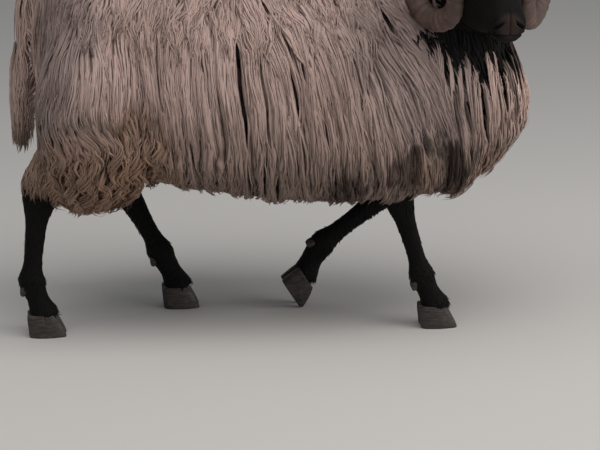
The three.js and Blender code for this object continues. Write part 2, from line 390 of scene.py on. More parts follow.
NOSE = from_head([185, 0, -20])
THROAT = at(365, -150, 604)
EAR_LINES = [from_head([[-10, side * 70, 10], [14, side * 128, 17]]) for side in (-1, 1)]

# [from, to, radius] of each dark part, in metres
DARK_PARTS = [[THROAT, NOSE, 0.136]] + [[*line, 0.045] for line in EAR_LINES]
DARK_PARTS += [[at(*line[3][:3]), at(*line[9][:3]), 0.052] for line in LEG_LINES.values()]


def dark_zone(points):
    """How far outside the nearest dark part each point is, in millimetres."""
    return np.min([near_line(points, a, b) - r for a, b, r in DARK_PARTS], axis=0) * 1000


print(len(DARK_PARTS), "dark parts")

# %% [markdown]
# ## One skin
# The body's skin is the fleece's surface drawn in by the coat's depth. Head, tail and legs are shaped
# from balls, then everything melts into one closed skin. A voxel remesh melts the joints as flesh
# does, where a boolean would leave a crease.

# %% Body inside the fleece
COAT_DEPTH, HAIR_DEPTH = 0.034, 0.007
core = copy_of("core", "trunk", "thigh_left", "thigh_right", "neck")
remesh(core, 0.010, 12)
co = points_of(core)
normals = np.array([v.normal for v in core.data.vertices])
bare = smooth(dark_zone(co), 40, -20)[:, None]
put_points(core, co - normals * (COAT_DEPTH * (1 - bare) + HAIR_DEPTH * bare))

tail_core = limb(
    "tail_core",
    [
        [-380, 0, 640, 14, 18],
        [-414, 0, 610, 12, 17],
        [-436, 0, 530, 9, 14],
        [-445, 0, 440, 8, 12],
        [-445, 0, 380, 6, 9],
    ],
    around=20,
    along=30,
)
legs = [limb("leg_" + name, line, power=2.15) for name, line in LEG_LINES.items()]

# %% [markdown]
# The head is a row of sections from the nape to the nose tip: place, height of the top, of the widest
# level and of the bottom, and half the width.

# %% Head
HEAD_SECTIONS = [
    [-64, 38, 10, -26, 24],
    [-56, 58, 14, -46, 46],
    [-36, 72, 16, -64, 60],
    [-8, 80, 14, -75, 64],
    [26, 80, 14, -74, 61],
    [50, 73, 16, -67, 57],
    [74, 62, 6, -60, 48],
    [100, 51, -4, -54, 39],
    [128, 40, -10, -50, 33],
    [152, 28, -14, -47, 31],
    [170, 16, -16, -44, 28.5],
    [181, 3, -18, -38, 21.5],
    [185, -7, -19, -30, 11],
]
head, s, turn, size = ball("head_ball", 64, 90)
row = spline(HEAD_SECTIONS, s * (len(HEAD_SECTIONS) - 1))
c, d = np.cos(turn) * size, np.sin(turn) * size
place = np.stack([row[:, 0], c * row[:, 4], row[:, 2]], -1)
place[:, 2] += np.where(d > 0, d * (row[:, 1] - row[:, 2]), d * (row[:, 2] - row[:, 3]))
put_points(head, from_head(place))
outwards(head)

skin = joined("skin", core, tail_core, head, *legs)
remesh(skin, 0.0036, 6)

# %% [markdown]
# The body under the wool can be coarser than the face and the legs, so the faces there are thinned.
# Then the faces at the eyes and the muzzle are split twice, to take eyelids, nostrils and lips.

# %% Finer face, coarser body
hidden = smooth(dark_zone(points_of(skin)), 12, 30)
group = skin.vertex_groups.new(name="under_wool")
for i in np.nonzero(hidden > 0.5)[0]:
    group.add([int(i)], 1.0, "REPLACE")
thin = skin.modifiers.new("thin", "DECIMATE")
thin.ratio = 0.45
thin.vertex_group = "under_wool"
apply_all(skin)
print("skin thinned to", len(skin.data.polygons))


def split_near(piece, wanted):
    """Splits the edges of the faces whose points are wanted."""
    select_only(piece)
    for block in (piece.data.vertices, piece.data.edges, piece.data.polygons):
        block.foreach_set("select", np.zeros(len(block), bool))
    piece.data.vertices.foreach_set("select", wanted)
    bpy.context.tool_settings.mesh_select_mode = (True, False, False)
    bpy.ops.object.mode_set(mode="EDIT")
    bpy.ops.mesh.subdivide(number_cuts=1)
    bpy.ops.object.mode_set(mode="OBJECT")


def face_parts(q):
    """Nearness to the eyes and to the muzzle's tip, in millimetres, from places in the head."""
    to_eye = np.linalg.norm(q * [1, 0, 1] + np.abs(q) * [0, 1, 0] - EYE, axis=-1)
    to_nose = np.linalg.norm(q - [172, 0, -20], axis=-1)
    return to_eye, to_nose


for reach in ((30, 46), (25, 34)):
    to_eye, to_nose = face_parts(to_head(points_of(skin)))
    split_near(skin, (to_eye < reach[0]) | (to_nose < reach[1]))
print("skin has", len(skin.data.polygons), "faces")

# %% [markdown]
# ## Modelling the face
# Soft swellings and hollows first: brow, cheek, the groove under the eye, the bow of a ram's nose.
# Then the lids, which wrap the eyeball and leave an almond open, the nostrils and the mouth.


# %% Face
def gaze_of(side):
    """Where an eye looks, in the head's axes: outwards and a little forwards and up."""
    return np.array([0.20, side * 0.96, 0.14])


def swell(q, middle, reach, amount):
    """How much a soft bump of that reach (x, y, z) lifts the places q; both sides alike."""
    folded = np.stack([q[:, 0], np.abs(q[:, 1]), q[:, 2]], -1)
    return amount * np.exp(-(((folded - middle) / reach) ** 2).sum(-1))


def shape_face(piece):
    co = points_of(piece)
    q = to_head(co)
    near = (np.abs(q[:, 1]) < 90) & (q[:, 0] > -70) & (np.abs(q[:, 2]) < 110)
    q = q[near]
    n = np.array([v.normal for v in piece.data.vertices])[near] @ HEAD_AXES.T
    # brow, upper lid, cheek, the grooves under the eye, the bow of the nose, muzzle and nostrils
    lift = swell(q, [38, 50, 45], [20, 14, 9], 5.0)
    lift += swell(q, [44, 46, 4], [20, 16, 8], 2.0)
    lift += swell(q, [18, 52, -34], [34, 22, 26], 5.0)
    lift -= swell(q, [78, 42, -6], [20, 14, 9], 3.5)
    lift -= swell(q, [72, 44, 8], [12, 12, 3.5], 2.2)
    lift += swell(q, [92, 0, 56], [40, 20, 22], 5.0)
    lift -= swell(q, [112, 36, -22], [26, 10, 12], 2.5)
    lift += swell(q, [160, 28, -14], [14, 12, 14], 2.5)
    lift += swell(q, [172, 16, -2], [9, 8, 8], 2.5)
    lift += swell(q, [168, 16, -42], [12, 16, 6], 2.0)
    # mouth: from the lips' front back along the cheek
    line = -29 - 6 * smooth(q[:, 0], 182, 120)
    crease = np.exp(-(((q[:, 2] - line) / 1.8) ** 2)) * smooth(q[:, 0], 118, 132)
    lips = np.exp(-(((q[:, 2] - line) / 6.0) ** 2)) * smooth(q[:, 0], 118, 132)
    lift += 1.6 * lips - 4.2 * crease
    # the groove between the nostrils
    lift -= 2.4 * np.exp(-((q[:, 1] / 1.6) ** 2)) * smooth(q[:, 0], 172, 180) * (q[:, 2] > -29)
    q = q + n * lift[:, None]
    # nostrils: slanting commas
    y = np.abs(q[:, 1])
    a = (q[:, 0] - 177) * 0.75 + (y - 14) * -0.66
    b = (q[:, 2] + 10) * 0.8 + (y - 14) * 0.6
    hole = np.exp(-((a / 7.0) ** 4) - (b / 2.7) ** 4) * (q[:, 0] > 160)
    rim = np.exp(-((a / 9.5) ** 2) - (b / 6.0) ** 2) * (q[:, 0] > 160)
    q = q + n * (1.5 * rim - 9.5 * hole)[:, None]
    # lids: gaze, along and over are the eye's own axes
    for side in (-1, 1):
        eye = EYE * [1, side, 1]
        gaze = unit(gaze_of(side))
        along = unit(np.array([0.96, side * -0.19, -0.20]))
        over = np.cross(along, gaze) * side
        r = q - eye
        far = np.linalg.norm(r, axis=-1)
        out, x, z = r @ gaze, r @ along, r @ over
        z = z * np.sign(over[2])
        # an almond that is a little fuller above
        half = np.where(z > 0, 8.2, 6.4) * np.maximum(1 - (x / 13.8) ** 2, 0) ** 0.62
        opening = np.where(np.abs(x) < 13.8, np.abs(z) - half, np.hypot(np.abs(x) - 13.8, z))
        wrap = EYE_RADIUS + 1.5
        target = r / np.maximum(far, 1e-6)[:, None] * wrap
        front = smooth(out, -2, 4)
        cover = front * smooth(far, 27, 16)
        lidded = r + (target - r) * cover[:, None]
        lidded += gaze * (1.3 * np.exp(-(((opening - 1.2) / 1.6) ** 2)) * cover)[:, None]
        lidded -= gaze * (1.1 * np.exp(-(((opening - 5.5) / 1.5) ** 2)) * cover)[:, None]
        inside = smooth(opening, 0.5, -0.7) * front * (far < 30)
        deep = r / np.maximum(far, 1e-6)[:, None] * (EYE_RADIUS - 5)
        q = np.where((far < 30)[:, None], eye + lidded + (deep - lidded) * inside[:, None], q)
    moved = co.copy()
    moved[near] = from_head(q)
    put_points(piece, moved)


shape_face(skin)
print("face shaped")

# %% [markdown]
# ## Ears
# The ears are short leaves of skin, cupped forwards, that pass through the curls of the horns. Each
# is a flattened ball that is bent about its own length, and joins the skin as it is, because a melt
# would fill its cup.


# %% Ears
def ear(side):
    """A leaf cupped forwards. It grows from under the horn and out through the horn's curl."""
    piece, s, turn, size = ball("ear", 36, 60)
    out = unit(np.array([0.4, side * 0.91, 0.1]))
    root = np.array([-22, side * 48, 8.0])
    broad = unit(-np.cross(np.cross(np.array([0.28, 0, 0.96]), out), out))
    thick = np.cross(out, broad)
    row = spline([[-12, 15, 8], [22, 19, 6.5], [48, 23, 4], [74, 16, 3], [90, 5, 2]], s * 4)
    c, d = np.cos(turn) * size, np.sin(turn) * size
    cup = 9 * (c * c) * (row[:, 1] / 24)
    curl = 3.0 * smooth(s, 0.5, 1.0)
    q = root + out * row[:, :1] + broad * (c * row[:, 1])[:, None]
    q = q + thick * (d * row[:, 2] / 2 - cup - curl)[:, None]
    put_points(piece, from_head(q))
    return outwards(piece)


skin = joined("skin", skin, ear(-1), ear(1))
select_only(skin)
bpy.ops.object.shade_smooth()
print("skin has", len(skin.data.polygons), "faces")

# %% [markdown]
# ## Horns
# Each horn winds back, down, forwards and up round the ear. Ridges run across it, close together
# near the tip and wide apart at the base. `HORN_COIL` holds, from base to tip, the angle in degrees,
# the coil's radius, how far it stands out to the side, and half the horn's thickness and breadth.

# %% Horns
HORN_COIL = [
    [58, 74, -56, 25, 26],
    [85, 80, -40, 27, 25],
    [130, 75, -20, 26, 22],
    [180, 68, -7, 25, 20],
    [235, 60, -2, 23.5, 18],
    [290, 56, 0, 22, 17],
    [345, 55, 4, 19, 15],
    [395, 53, 14, 14.5, 12],
    [430, 54, 25, 8.5, 7.5],
    [446, 56, 30, 3, 3],
]
HORN_SIDE, HORN_FLARE = 86, np.radians(31)
HORN_SAMPLES = 2000


def horn(side):
    piece, s, turn, size = ball("horn_" + ("left" if side > 0 else "right") + "_look", 40, 420)
    row = spline(HORN_COIL, s * (len(HORN_COIL) - 1))
    angle = np.radians(row[:, 0])
    outside = np.array([np.sin(HORN_FLARE), side * np.cos(HORN_FLARE), 0])
    forwards = np.array([np.cos(HORN_FLARE), -side * np.sin(HORN_FLARE), 0])
    radial = np.cos(angle)[:, None] * forwards + np.sin(angle)[:, None] * UP
    c, d = np.cos(turn), np.sin(turn)
    keel = np.where(c > 0, 1.0, 0.88)
    # ridges: their spacing shrinks with the horn's thickness
    length = np.cumsum(np.ones(HORN_SAMPLES)) / HORN_SAMPLES
    thickness = spline(HORN_COIL, length * (len(HORN_COIL) - 1))[:, 3]
    phase = np.interp(s, length, np.cumsum(1 / (4 + 0.42 * thickness)) * 0.225 * 2 * np.pi)
    wobble = 0.5 * np.sin(phase * 0.37 + side) + 0.25 * np.sin(2 * turn + phase * 0.2)
    ridge = (0.5 + 0.5 * np.sin(phase + wobble * 1.2)) ** 0.7 - 0.5
    depth = (1.1 + 0.5 * np.sin(phase * 0.23 + 1)) * np.minimum(1, row[:, 3] / 16)
    thick = (row[:, 3] - 1.2 + ridge * depth) * size
    broad = (row[:, 4] - 1.2 + ridge * depth * 0.9) * size
    centre = np.array([0, side * HORN_SIDE, 0])
    q = centre + radial * (row[:, 1] + c * keel * thick)[:, None]
    q = q + outside * (row[:, 2] + d * broad)[:, None]
    put_points(piece, from_head(q))
    return outwards(piece)


horns = [horn(-1), horn(1)]
print("horns", [len(h.data.polygons) for h in horns])

# %% [markdown]
# ## Claws
# A foot has two claws, flat below, with a steep wall that slopes to the toe, and a small pair of dew
# claws behind the fetlock. `CLAW_RINGS` holds the height of each ring, how far it leans back, and its
# length and breadth as shares of the sole's.


# %% Claws
CLAW_RINGS = [
    [0, 0, 0.97, 0.96],
    [3, -0.2, 1.0, 0.995],
    [14, -3, 0.95, 0.95],
    [28, -7.5, 0.86, 0.88],
    [40, -12, 0.73, 0.79],
]
CLAW_LENGTH, CLAW_WIDTH = 33, 13.5


def claw(node, side, tilt, place):
    """One claw, tilted onto its toe by some degrees, with its inner wall on the other claw's side."""
    piece, s, turn, size = ball(node + "_look", 40, 34)
    row = spline(CLAW_RINGS, s * (len(CLAW_RINGS) - 1))
    c, d = soft(np.cos(turn), 2.6), soft(np.sin(turn), 2.6)
    d = np.where(c > 0, d * (1 - 0.35 * c), d)
    rings = 0.35 * np.sin(row[:, 0] * 1.25) * smooth(row[:, 0], 3, 9)
    x = row[:, 1] + c * size * (CLAW_LENGTH * row[:, 2] - 0.4 + rings)
    y = side * 0.6 + d * size * (CLAW_WIDTH * row[:, 3] - 0.3 + rings * 0.6)
    z = row[:, 0]
    angle = np.radians(tilt)
    ahead, height = x * np.cos(angle) + z * np.sin(angle), z * np.cos(angle) - x * np.sin(angle)
    points = at(*place) + np.stack([ahead, y, height], -1) / 1000
    points[:, 2] = np.maximum(points[:, 2], 0)
    put_points(piece, points)
    return outwards(piece)


# [x, y, z, tilt in degrees] of each foot
FEET = {
    "fore_right": (294, -89, 0, 0),
    "fore_left": (42, 71, 24, 57),
    "hind_right": (-404, -90, 0, 0),
    "hind_left": (-160, 84, 0, 0),
}
claws = []
for name, (x, y, z, tilt) in FEET.items():
    side = 1 if name.endswith("left") else -1
    for half, which in ((side, "outer"), (-side, "inner")):
        claws.append(claw(f"claw_{name}_{which}", half, tilt, (x, y + half * 14.6, z)))


def dew_claw(leg, half):
    """A small blunt horn behind the fetlock, on one half of a leg."""
    piece, s, turn, size = ball("dew_claw", 16, 14)
    joint, below = np.array(leg[7][:3], float), np.array(leg[8][:3], float)
    down = unit(below - joint)
    back = unit(np.cross(down, [0, 1.0, 0]))
    across = np.array([0, 1.0, 0])
    row = spline([[0, 7.5], [5, 7.5], [11, 6], [16, 2.5]], s * 3)
    start = joint + back * -14 + down * 6 + across * half * 10
    axis = unit(down * 0.75 - back * 0.66)
    q = start + axis * row[:, :1] + across * (np.cos(turn) * size * row[:, 1] * 0.8)[:, None]
    q = q + np.cross(axis, across) * (np.sin(turn) * size * row[:, 1])[:, None]
    put_points(piece, q / 1000 + BODY)
    return outwards(piece)


dews = [dew_claw(line, half) for line in LEG_LINES.values() for half in (-1, 1)]
dew_claws = joined("dew_claws", *dews)
print(len(claws), "claws and", len(dews), "dew claws")

# %% [markdown]
# ## Eyes
# An eyeball with a slightly bulging cornea; its material paints the amber iris and the level pupil.


# %% Eyes
def eyeball(side):
    """A ball with a slight bulge where it looks. The lids were wrapped round the same place."""
    piece = ball("eye_" + ("left" if side > 0 else "right") + "_look", 48, 32)[0]
    co = points_of(piece)
    bulge = 0.8 * smooth(co @ unit(gaze_of(side)), 0.75, 0.95)
    q = EYE * [1, side, 1] + co * (EYE_RADIUS - 0.3 + bulge[:, None])
    put_points(piece, from_head(q))
    return outwards(piece)


eyes = [eyeball(-1), eyeball(1)]
print("eyes", [eye.name for eye in eyes])

# %% [markdown]
# ## Locks
# Every lock of wool and every tuft of hair is a thin closed strand: a row of three-sided sections
# that ends in a point. Particle hair would be quicker to comb, but it isn't a mesh, and this model is
# kept as closed meshes. `strands` makes thousands at once from their middle lines. The map OFBake gives each
# strand a small patch of its own where its root is on the unwrapped skin, and the map strand tells
# the material how far round and how far along the strand a point is.

# %% Strand meshes
ROWS = 8
TAPER = np.interp(np.linspace(0, 1, ROWS), [0, 0.15, 0.5, 0.8, 1], [0.6, 1.0, 1.0, 0.55, 0.06])
PATCH = 0.003


def strands(name, middle, across, out, half, thick, roots, chart, tone):
    """One mesh of strands: middle, across and out have a place for each strand and row."""
    n, rows = half.shape
    left = middle[:, :-1] - across[:, :-1] * half[:, :-1, None] - out[:, :-1] * thick[:, :-1, None] * 0.4
    ridge = middle[:, :-1] + out[:, :-1] * thick[:, :-1, None]
    right = middle[:, :-1] + across[:, :-1] * half[:, :-1, None] - out[:, :-1] * thick[:, :-1, None] * 0.4
    rings = np.stack([left, ridge, right], 2).reshape(n, -1, 3)
    co = np.concatenate([rings, middle[:, -1:]], 1)
    per = co.shape[1]
    quads, quad_uv = [], []
    for k in range(rows - 2):
        for c in range(3):
            e = (c + 1) % 3
            quads.append([3 * k + c, 3 * k + e, 3 * k + 3 + e, 3 * k + 3 + c])
            v0, v1 = k / (rows - 1), (k + 1) / (rows - 1)
            quad_uv.append([[c / 3, v0], [(c + 1) / 3, v0], [(c + 1) / 3, v1], [c / 3, v1]])
    last, v0 = 3 * (rows - 2), (rows - 2) / (rows - 1)
    tris = [[0, 2, 1]]
    tri_uv = [[[0, 0], [1, 0], [0.5, -0.08]]]
    for c in range(3):
        tris.append([last + c, last + (c + 1) % 3, per - 1])
        tri_uv.append([[c / 3, v0], [(c + 1) / 3, v0], [(c + 0.5) / 3, 1]])
    quads, tris = np.array(quads), np.array(tris)
    offset = (np.arange(n) * per)[:, None, None]
    loops = np.concatenate([(quads + offset).reshape(n, -1), (tris + offset).reshape(n, -1)], 1)
    sizes = np.r_[np.full(len(quads), 4), np.full(len(tris), 3)]
    starts = np.concatenate([[0], np.cumsum(np.tile(sizes, n))[:-1]])
    uv = np.concatenate([np.array(quad_uv).reshape(-1, 2), np.array(tri_uv).reshape(-1, 2)])
    me = bpy.data.meshes.new(name)
    me.vertices.add(n * per)
    me.vertices.foreach_set("co", co.astype(np.float32).ravel())
    me.loops.add(loops.size)
    me.loops.foreach_set("vertex_index", loops.astype(np.int32).ravel())
    me.polygons.add(n * len(sizes))
    me.polygons.foreach_set("loop_start", starts.astype(np.int32))
    me.update(calc_edges=True)
    # the two outer sides are shaded round, the inner side and the root are flat
    outer_sides = np.array([c < 2 for _ in range(rows - 2) for c in range(3)] + [False, True, True, False])
    me.polygons.foreach_set("use_smooth", np.tile(outer_sides, n))
    bake = me.uv_layers.new(name="OFBake")
    bake.data.foreach_set("uv", (chart[:, None] + (uv - 0.5) * PATCH).astype(np.float32).ravel())
    strand = me.uv_layers.new(name="strand")
    shifted = uv[None] + np.stack([np.floor(tone * 50 + 50) * 3, 0 * tone], -1)[:, None]
    strand.data.foreach_set("uv", shifted.astype(np.float32).ravel())
    for key, values in (("root", np.repeat(roots, per, 0)), ("tone", np.repeat(tone, per))):
        kind = "FLOAT_VECTOR" if values.ndim == 2 else "FLOAT"
        field = me.attributes.new(key, kind, "POINT")
        field.data.foreach_set("vector" if values.ndim == 2 else "value", values.astype(np.float32).ravel())
    piece = bpy.data.objects.new(name, me)
    bpy.context.scene.collection.objects.link(piece)
    triangles = n * (2 * len(quads) + len(tris))
    print(name, n, "strands", triangles, "triangles")
    return piece


def spread(values):
    """Fills the unit square, a little inside its edges."""
    low, high = values.min(0), values.max(0)
    return 0.01 + 0.98 * (values - low) / (high - low)


# %% [markdown]
# ## The fleece
# Real wool hangs in staples: locks that cling together and lie the same way. So guides come first.
# Their roots are spread evenly over the fleece's surface, and each walks over it, downhill, with a
# lean that changes from rump to chest. Then each guide gets about eleven locks round it, which draw
# together towards its tip.

# %% Roots on the fleece
GUIDES = 2600
LOCKS = 29000
chance = np.random.default_rng(11)


def sample(piece, count, weight):
    """count places spread evenly over a piece, as dense as weight(places) says."""
    me = piece.data
    me.calc_loop_triangles()
    tri = np.empty(len(me.loop_triangles) * 3, np.int32)
    me.loop_triangles.foreach_get("vertices", tri)
    corners = points_of(piece)[tri.reshape(-1, 3)]
    area = np.linalg.norm(np.cross(corners[:, 1] - corners[:, 0], corners[:, 2] - corners[:, 0]), axis=1)
    share = np.cumsum(area * weight(corners.mean(1)))
    picks = np.searchsorted(share, (np.arange(count) + chance.random(count)) / count * share[-1])
    picks = np.minimum(picks, len(corners) - 1)
    a, b = chance.random((2, count, 1))
    flip = a + b > 1
    a, b = np.where(flip, 1 - a, a), np.where(flip, 1 - b, b)
    chosen = corners[picks]
    return chosen[:, 0] + a * (chosen[:, 1] - chosen[:, 0]) + b * (chosen[:, 2] - chosen[:, 0])


def nearest(tree, points):
    """Nearest places and outward directions on a surface."""
    found = [tree.find_nearest(Vector(p)) for p in points]
    return np.array([f[0] for f in found]), np.array([f[1] for f in found])


def wave(points, seed, size):
    """A smooth irregular value round 0 for each place: a sum of a few long waves."""
    pick = np.random.default_rng(seed)
    total = np.zeros(len(points))
    for _ in range(5):
        way = unit(pick.normal(size=3)) * 2 * np.pi / (size * pick.uniform(0.6, 1.6))
        total += np.sin(points @ way + pick.uniform(0, 6.3))
    return total / 2.2


def body(points):
    """Places in the body's own millimetres."""
    return (points - BODY) * 1000


def woolly(points):
    """1 where wool grows: outside the dark parts, with a ragged edge."""
    edge = dark_zone(points) + 14 * wave(points, 5, 0.06) + 10 * wave(points, 6, 0.022)
    return (edge > 0) * 1.0


print(GUIDES, "guides,", LOCKS, "locks")

# %% [markdown]
# What differs from place to place: the length of the wool, its curl, how far it leans, how deep it
# grows. The britch, low on the thighs, is short and curly; the belly is short; flank, shoulder and
# chest are long. On the flank the wool turns round a whorl and from there it leans forwards.


# %% The coat's regions
def britch(b):
    """1 low on the thighs, where the wool is short, curly and tan."""
    back = smooth(b[:, 0] - 0.35 * np.maximum(b[:, 1], 0), -180, -225)
    return back * smooth(b[:, 2] + 12 * np.sin(b[:, 0] / 23), 440, 380)


def under(normals):
    """1 under the belly."""
    return smooth(normals[:, 2], -0.6, -0.85)


WHORL_X, WHORL_Z = -77, 605


def lean(x, z):
    """How far a lock drifts forwards for each step down."""
    places = [-420, -330, -230, -80, 20, 130, 220, 320, 400]
    along = np.interp(x, places, [-0.28, -0.06, 0.06, 0.09, 0.15, 0.24, 0.40, 0.36, 0.12])
    ahead, above = x - WHORL_X, z - WHORL_Z
    whorl = 0.6 * ahead / 70 * np.exp(-((ahead / 85) ** 2) - (above / 60) ** 2)
    return along + whorl + 0.6 * smooth(x, 120, 250) * smooth(z, 400, 600)


print("lean on rump, flank and shoulder", [float(lean(x, 450).round(2)) for x in (-300, 0, 250)])

# %% [markdown]
# Thin white staples hang over the black throat on the right. They get guides of their own, each
# given as [x, z, length] of its root. The other guides take their length from their region.

# %% Guides' roots and lengths
THROAT_STAPLES = [
    [276, 520, 110],
    [295, 504, 105],
    [311, 484, 90],
    [326, 494, 135],
    [341, 472, 110],
    [354, 462, 100],
    [368, 500, 135],
    [376, 488, 120],
    [388, 486, 110],
    [404, 455, 90],
    [430, 452, 90],
]
guide_root = sample(envelope, GUIDES, woolly)
extra = [outer.ray_cast(Vector(at(x, -900, z)), Vector((0, 1, 0)))[0] for x, z, _ in THROAT_STAPLES]
guide_root, guide_out = nearest(outer, np.concatenate([guide_root, np.array(extra)]))
own = np.arange(GUIDES + len(extra)) >= GUIDES
GUIDES_ALL = len(own)
WOOL_LENGTH = 178
b = body(guide_root)
low = under(guide_out)
curly = britch(b)
length = WOOL_LENGTH + 22 * wave(guide_root, 21, 0.15)
length = length * (1 - 0.46 * curly) * (1 - 0.66 * low)
# shorter along the spine and low on the chest's front
crown = smooth(b[:, 2], 560, 600) * smooth(b[:, 0], 330, 240)
length = length * (1 - 0.4 * crown)
length = np.where(b[:, 0] > 330, length * 0.75, length)
# the locks above the britch end where it begins
over_britch = smooth(b[:, 0], -175, -225) * (1 - curly)
down_to_britch = np.maximum(b[:, 2] - 388, 60) + 14 * wave(guide_root, 22, 0.04)
length = length + over_britch * (np.minimum(length, down_to_britch) - length)
length[own] = [row[2] for row in THROAT_STAPLES]
print("guides' lengths from", int(length.min()), "to", int(length.max()), "mm")

# %% [markdown]
# Each guide now walks down in ten steps. At every step gravity's pull is laid flat on the surface,
# the region's lean and a little waywardness are added, and the last heading is kept in part, so
# that the guide bends and doesn't kink. Where the body turns under, the lock lets go and hangs.

# %% Guides walk down
STEPS = 10
path = [guide_root]
ways, outs = [], [guide_out]
place, out = guide_root, guide_out
heading = None
stray = 0.03 * wave(guide_root, 31, 0.10) + 0.012 * chance.normal(size=GUIDES_ALL)
stray = stray + curly * (0.4 * wave(guide_root, 33, 0.05) + 0.2 * chance.normal(size=GUIDES_ALL))
stray = stray + crown * (0.3 * wave(guide_root, 34, 0.06) + 0.07 * chance.normal(size=GUIDES_ALL))
side = np.sign(b[:, 1] + 12 * wave(guide_root, 41, 0.12))
slack = chance.uniform(0.008, 0.016, (GUIDES_ALL, 1))
# under the belly the wool lies back and outwards
under_pull = np.stack([np.full(GUIDES_ALL, -0.8), 0.5 * side, np.zeros(GUIDES_ALL)], -1)
for _ in range(STEPS):
    b = body(place)
    sweep_in = np.interp(b[:, 0], [-430, -360, -300, -250, -210], [0.9, 0.85, 0.6, 0.15, -0.15])
    drift = np.where(own, 0.13, lean(b[:, 0], b[:, 2])) + stray + britch(b) * sweep_in
    pull = np.stack([drift, 0.75 * side * np.clip(out[:, 2], 0, 1) ** 2, np.full(GUIDES_ALL, -1.0)], -1)
    pull = pull + low[:, None] * under_pull
    flat = pull - out * (pull * out).sum(-1, keepdims=True)
    flat = unit(flat) if heading is None else unit(unit(flat) + 0.6 * heading)
    hang = smooth(out[:, 2], -0.10, -0.40)[:, None] * (1 - low[:, None])
    way = unit(flat * (1 - hang) + hang * np.array([0, 0, -1.0]))
    heading = way
    step = (length / STEPS / 1000)[:, None] * (1 - 0.35 * hang)
    ahead = place + way * step
    on, normal = nearest(outer, ahead)
    outside = ((ahead - on) * normal).sum(-1, keepdims=True)
    loose = np.clip(outside, -0.002, slack) * hang
    ahead = on + normal * loose
    out = unit(out * 0.35 + normal * 0.65)
    place = ahead
    path.append(place)
    ways.append(way)
    outs.append(out)
ways.append(ways[-1])
path, ways, outs = (np.stack(v, 1) for v in (path, ways, outs))
ways = unit(ways - outs * (ways * outs).sum(-1, keepdims=True))
sideways = np.cross(ways, outs)
print("guides", path.shape)

# %% [markdown]
# A staple waves as one, so the wave belongs to the guide: long and slight on the flank, wide in the
# britch's curls, short where the wool is crimped along the spine. In the britch each staple also has
# its own height and its own tone.

# %% Waves of the staples
coil_length = np.where(curly > 0.4, chance.uniform(78, 110, GUIDES_ALL), 125 + 20 * wave(guide_root, 51, 0.3))
coil_length = np.where(crown > 0.5, chance.uniform(34, 48, GUIDES_ALL), coil_length)
coil_width = 2.4 + 0.8 * wave(guide_root, 52, 0.1) + curly * chance.uniform(5, 10, GUIDES_ALL)
coil_start = 2.4 * wave(guide_root, 53, 0.16) + curly * chance.uniform(0, 2 * np.pi, GUIDES_ALL)
staple_level = np.where(own, -1.5, chance.uniform(0, 7, GUIDES_ALL))
staple_tone = curly * np.clip(chance.normal(size=GUIDES_ALL), -1.4, 1.4)
print("coils", int(coil_length.min()), "to", int(coil_length.max()), "mm long")

# %% [markdown]
# Wool parts here and there. A parting is a line down the flank: locks near it stand aside, and the
# wool under it sinks, the more the wider it is. They are listed for the right side, -1, and for the
# left, 1, as [upper x, upper z, lower x, lower z, half width]. Round each elbow the chest's wool
# closes over the leg's in a fold, an arch of [x, half width, z, height].

# %% Partings
ELBOW = [268, 34, 300, 72]
PARTINGS = {
    -1: [
        [-76, 556, -56, 352, 4.2],
        [-34, 530, -18, 350, 2.2],
        [15, 500, 34, 404, 2.6],
        [36, 520, 44, 470, 2.2],
        [-108, 470, -89, 300, 1.6],
        [-163, 390, -129, 258, 1.7],
        [-57, 335, -52, 255, 2.0],
        [-29, 330, -22, 255, 2.0],
        [-7, 308, -2, 250, 2.1],
        [34, 390, 46, 285, 1.7],
        [74, 415, 84, 350, 1.6],
        [180, 590, 200, 540, 4.0],
        [-210, 560, -205, 430, 1.4],
        [120, 520, 150, 430, 1.5],
        [-30, 612, -18, 580, 2.6],
        [350, 475, 381, 335, 3.6],
        [394, 492, 418, 386, 4.4],
        [304, 450, 320, 350, 2.0],
        [328, 440, 346, 350, 1.8],
    ],
    1: [
        [-140, 540, -126, 400, 2.2],
        [-46, 530, -32, 350, 3.0],
        [52, 560, 74, 420, 2.0],
        [130, 480, 160, 340, 2.4],
        [-230, 500, -226, 390, 1.8],
        [0, 400, 12, 260, 2.2],
        [-90, 380, -80, 255, 2.0],
        [350, 450, 372, 340, 2.6],
    ],
}


def part_wool(middle, width, deep):
    """Shifts rows of places aside at the partings and says how far they sink, in millimetres."""
    b = body(middle.reshape(-1, 3)).reshape(middle.shape)
    shift, sink = np.zeros(b.shape[:2]), np.zeros(b.shape[:2])
    for side, lines in PARTINGS.items():
        for x0, z0, x1, z1, half in lines:
            t = (z0 - b[:, :, 2]) / (z0 - z1)
            lens = np.sqrt(np.clip(4 * t * (1 - t), 0, 1)) * (b[:, :, 1] * side > 40)
            gap = b[:, :, 0] - (x0 + (x1 - x0) * t + 1.6 * np.sin(b[:, :, 2] / 19 + x0))
            hand = np.sign((gap * lens).sum(1, keepdims=True) + 1e-6)
            gap = gap * hand
            wall = (half + 0.65 * width[:, None]) * lens
            room = wall * 3.2 + 1e-6
            aside = wall + np.maximum(gap, 0) * (room - wall) / room
            moved = np.where((gap > -room) & (gap < room), aside, gap)
            shift += np.where(deep[:, None], 0, (moved - gap) * hand * (lens > 0))
            edge = np.exp(-np.maximum(moved - wall, 0) / 6) * lens * (np.abs(gap) < room)
            bed = min(16, 7.5 * (half - 0.8)) * lens * (np.abs(gap) < half + 7)
            sink += np.where(deep[:, None], bed, 1.1 * half * edge)
    fold = np.hypot((b[:, :, 0] - ELBOW[0]) / ELBOW[1], (b[:, :, 2] - ELBOW[2]) / ELBOW[3])
    sink += 11 * np.exp(-(((fold - 1) / 0.24) ** 2)) * (np.abs(b[:, :, 1]) > 60) * (b[:, :, 2] < 400)
    return shift, sink


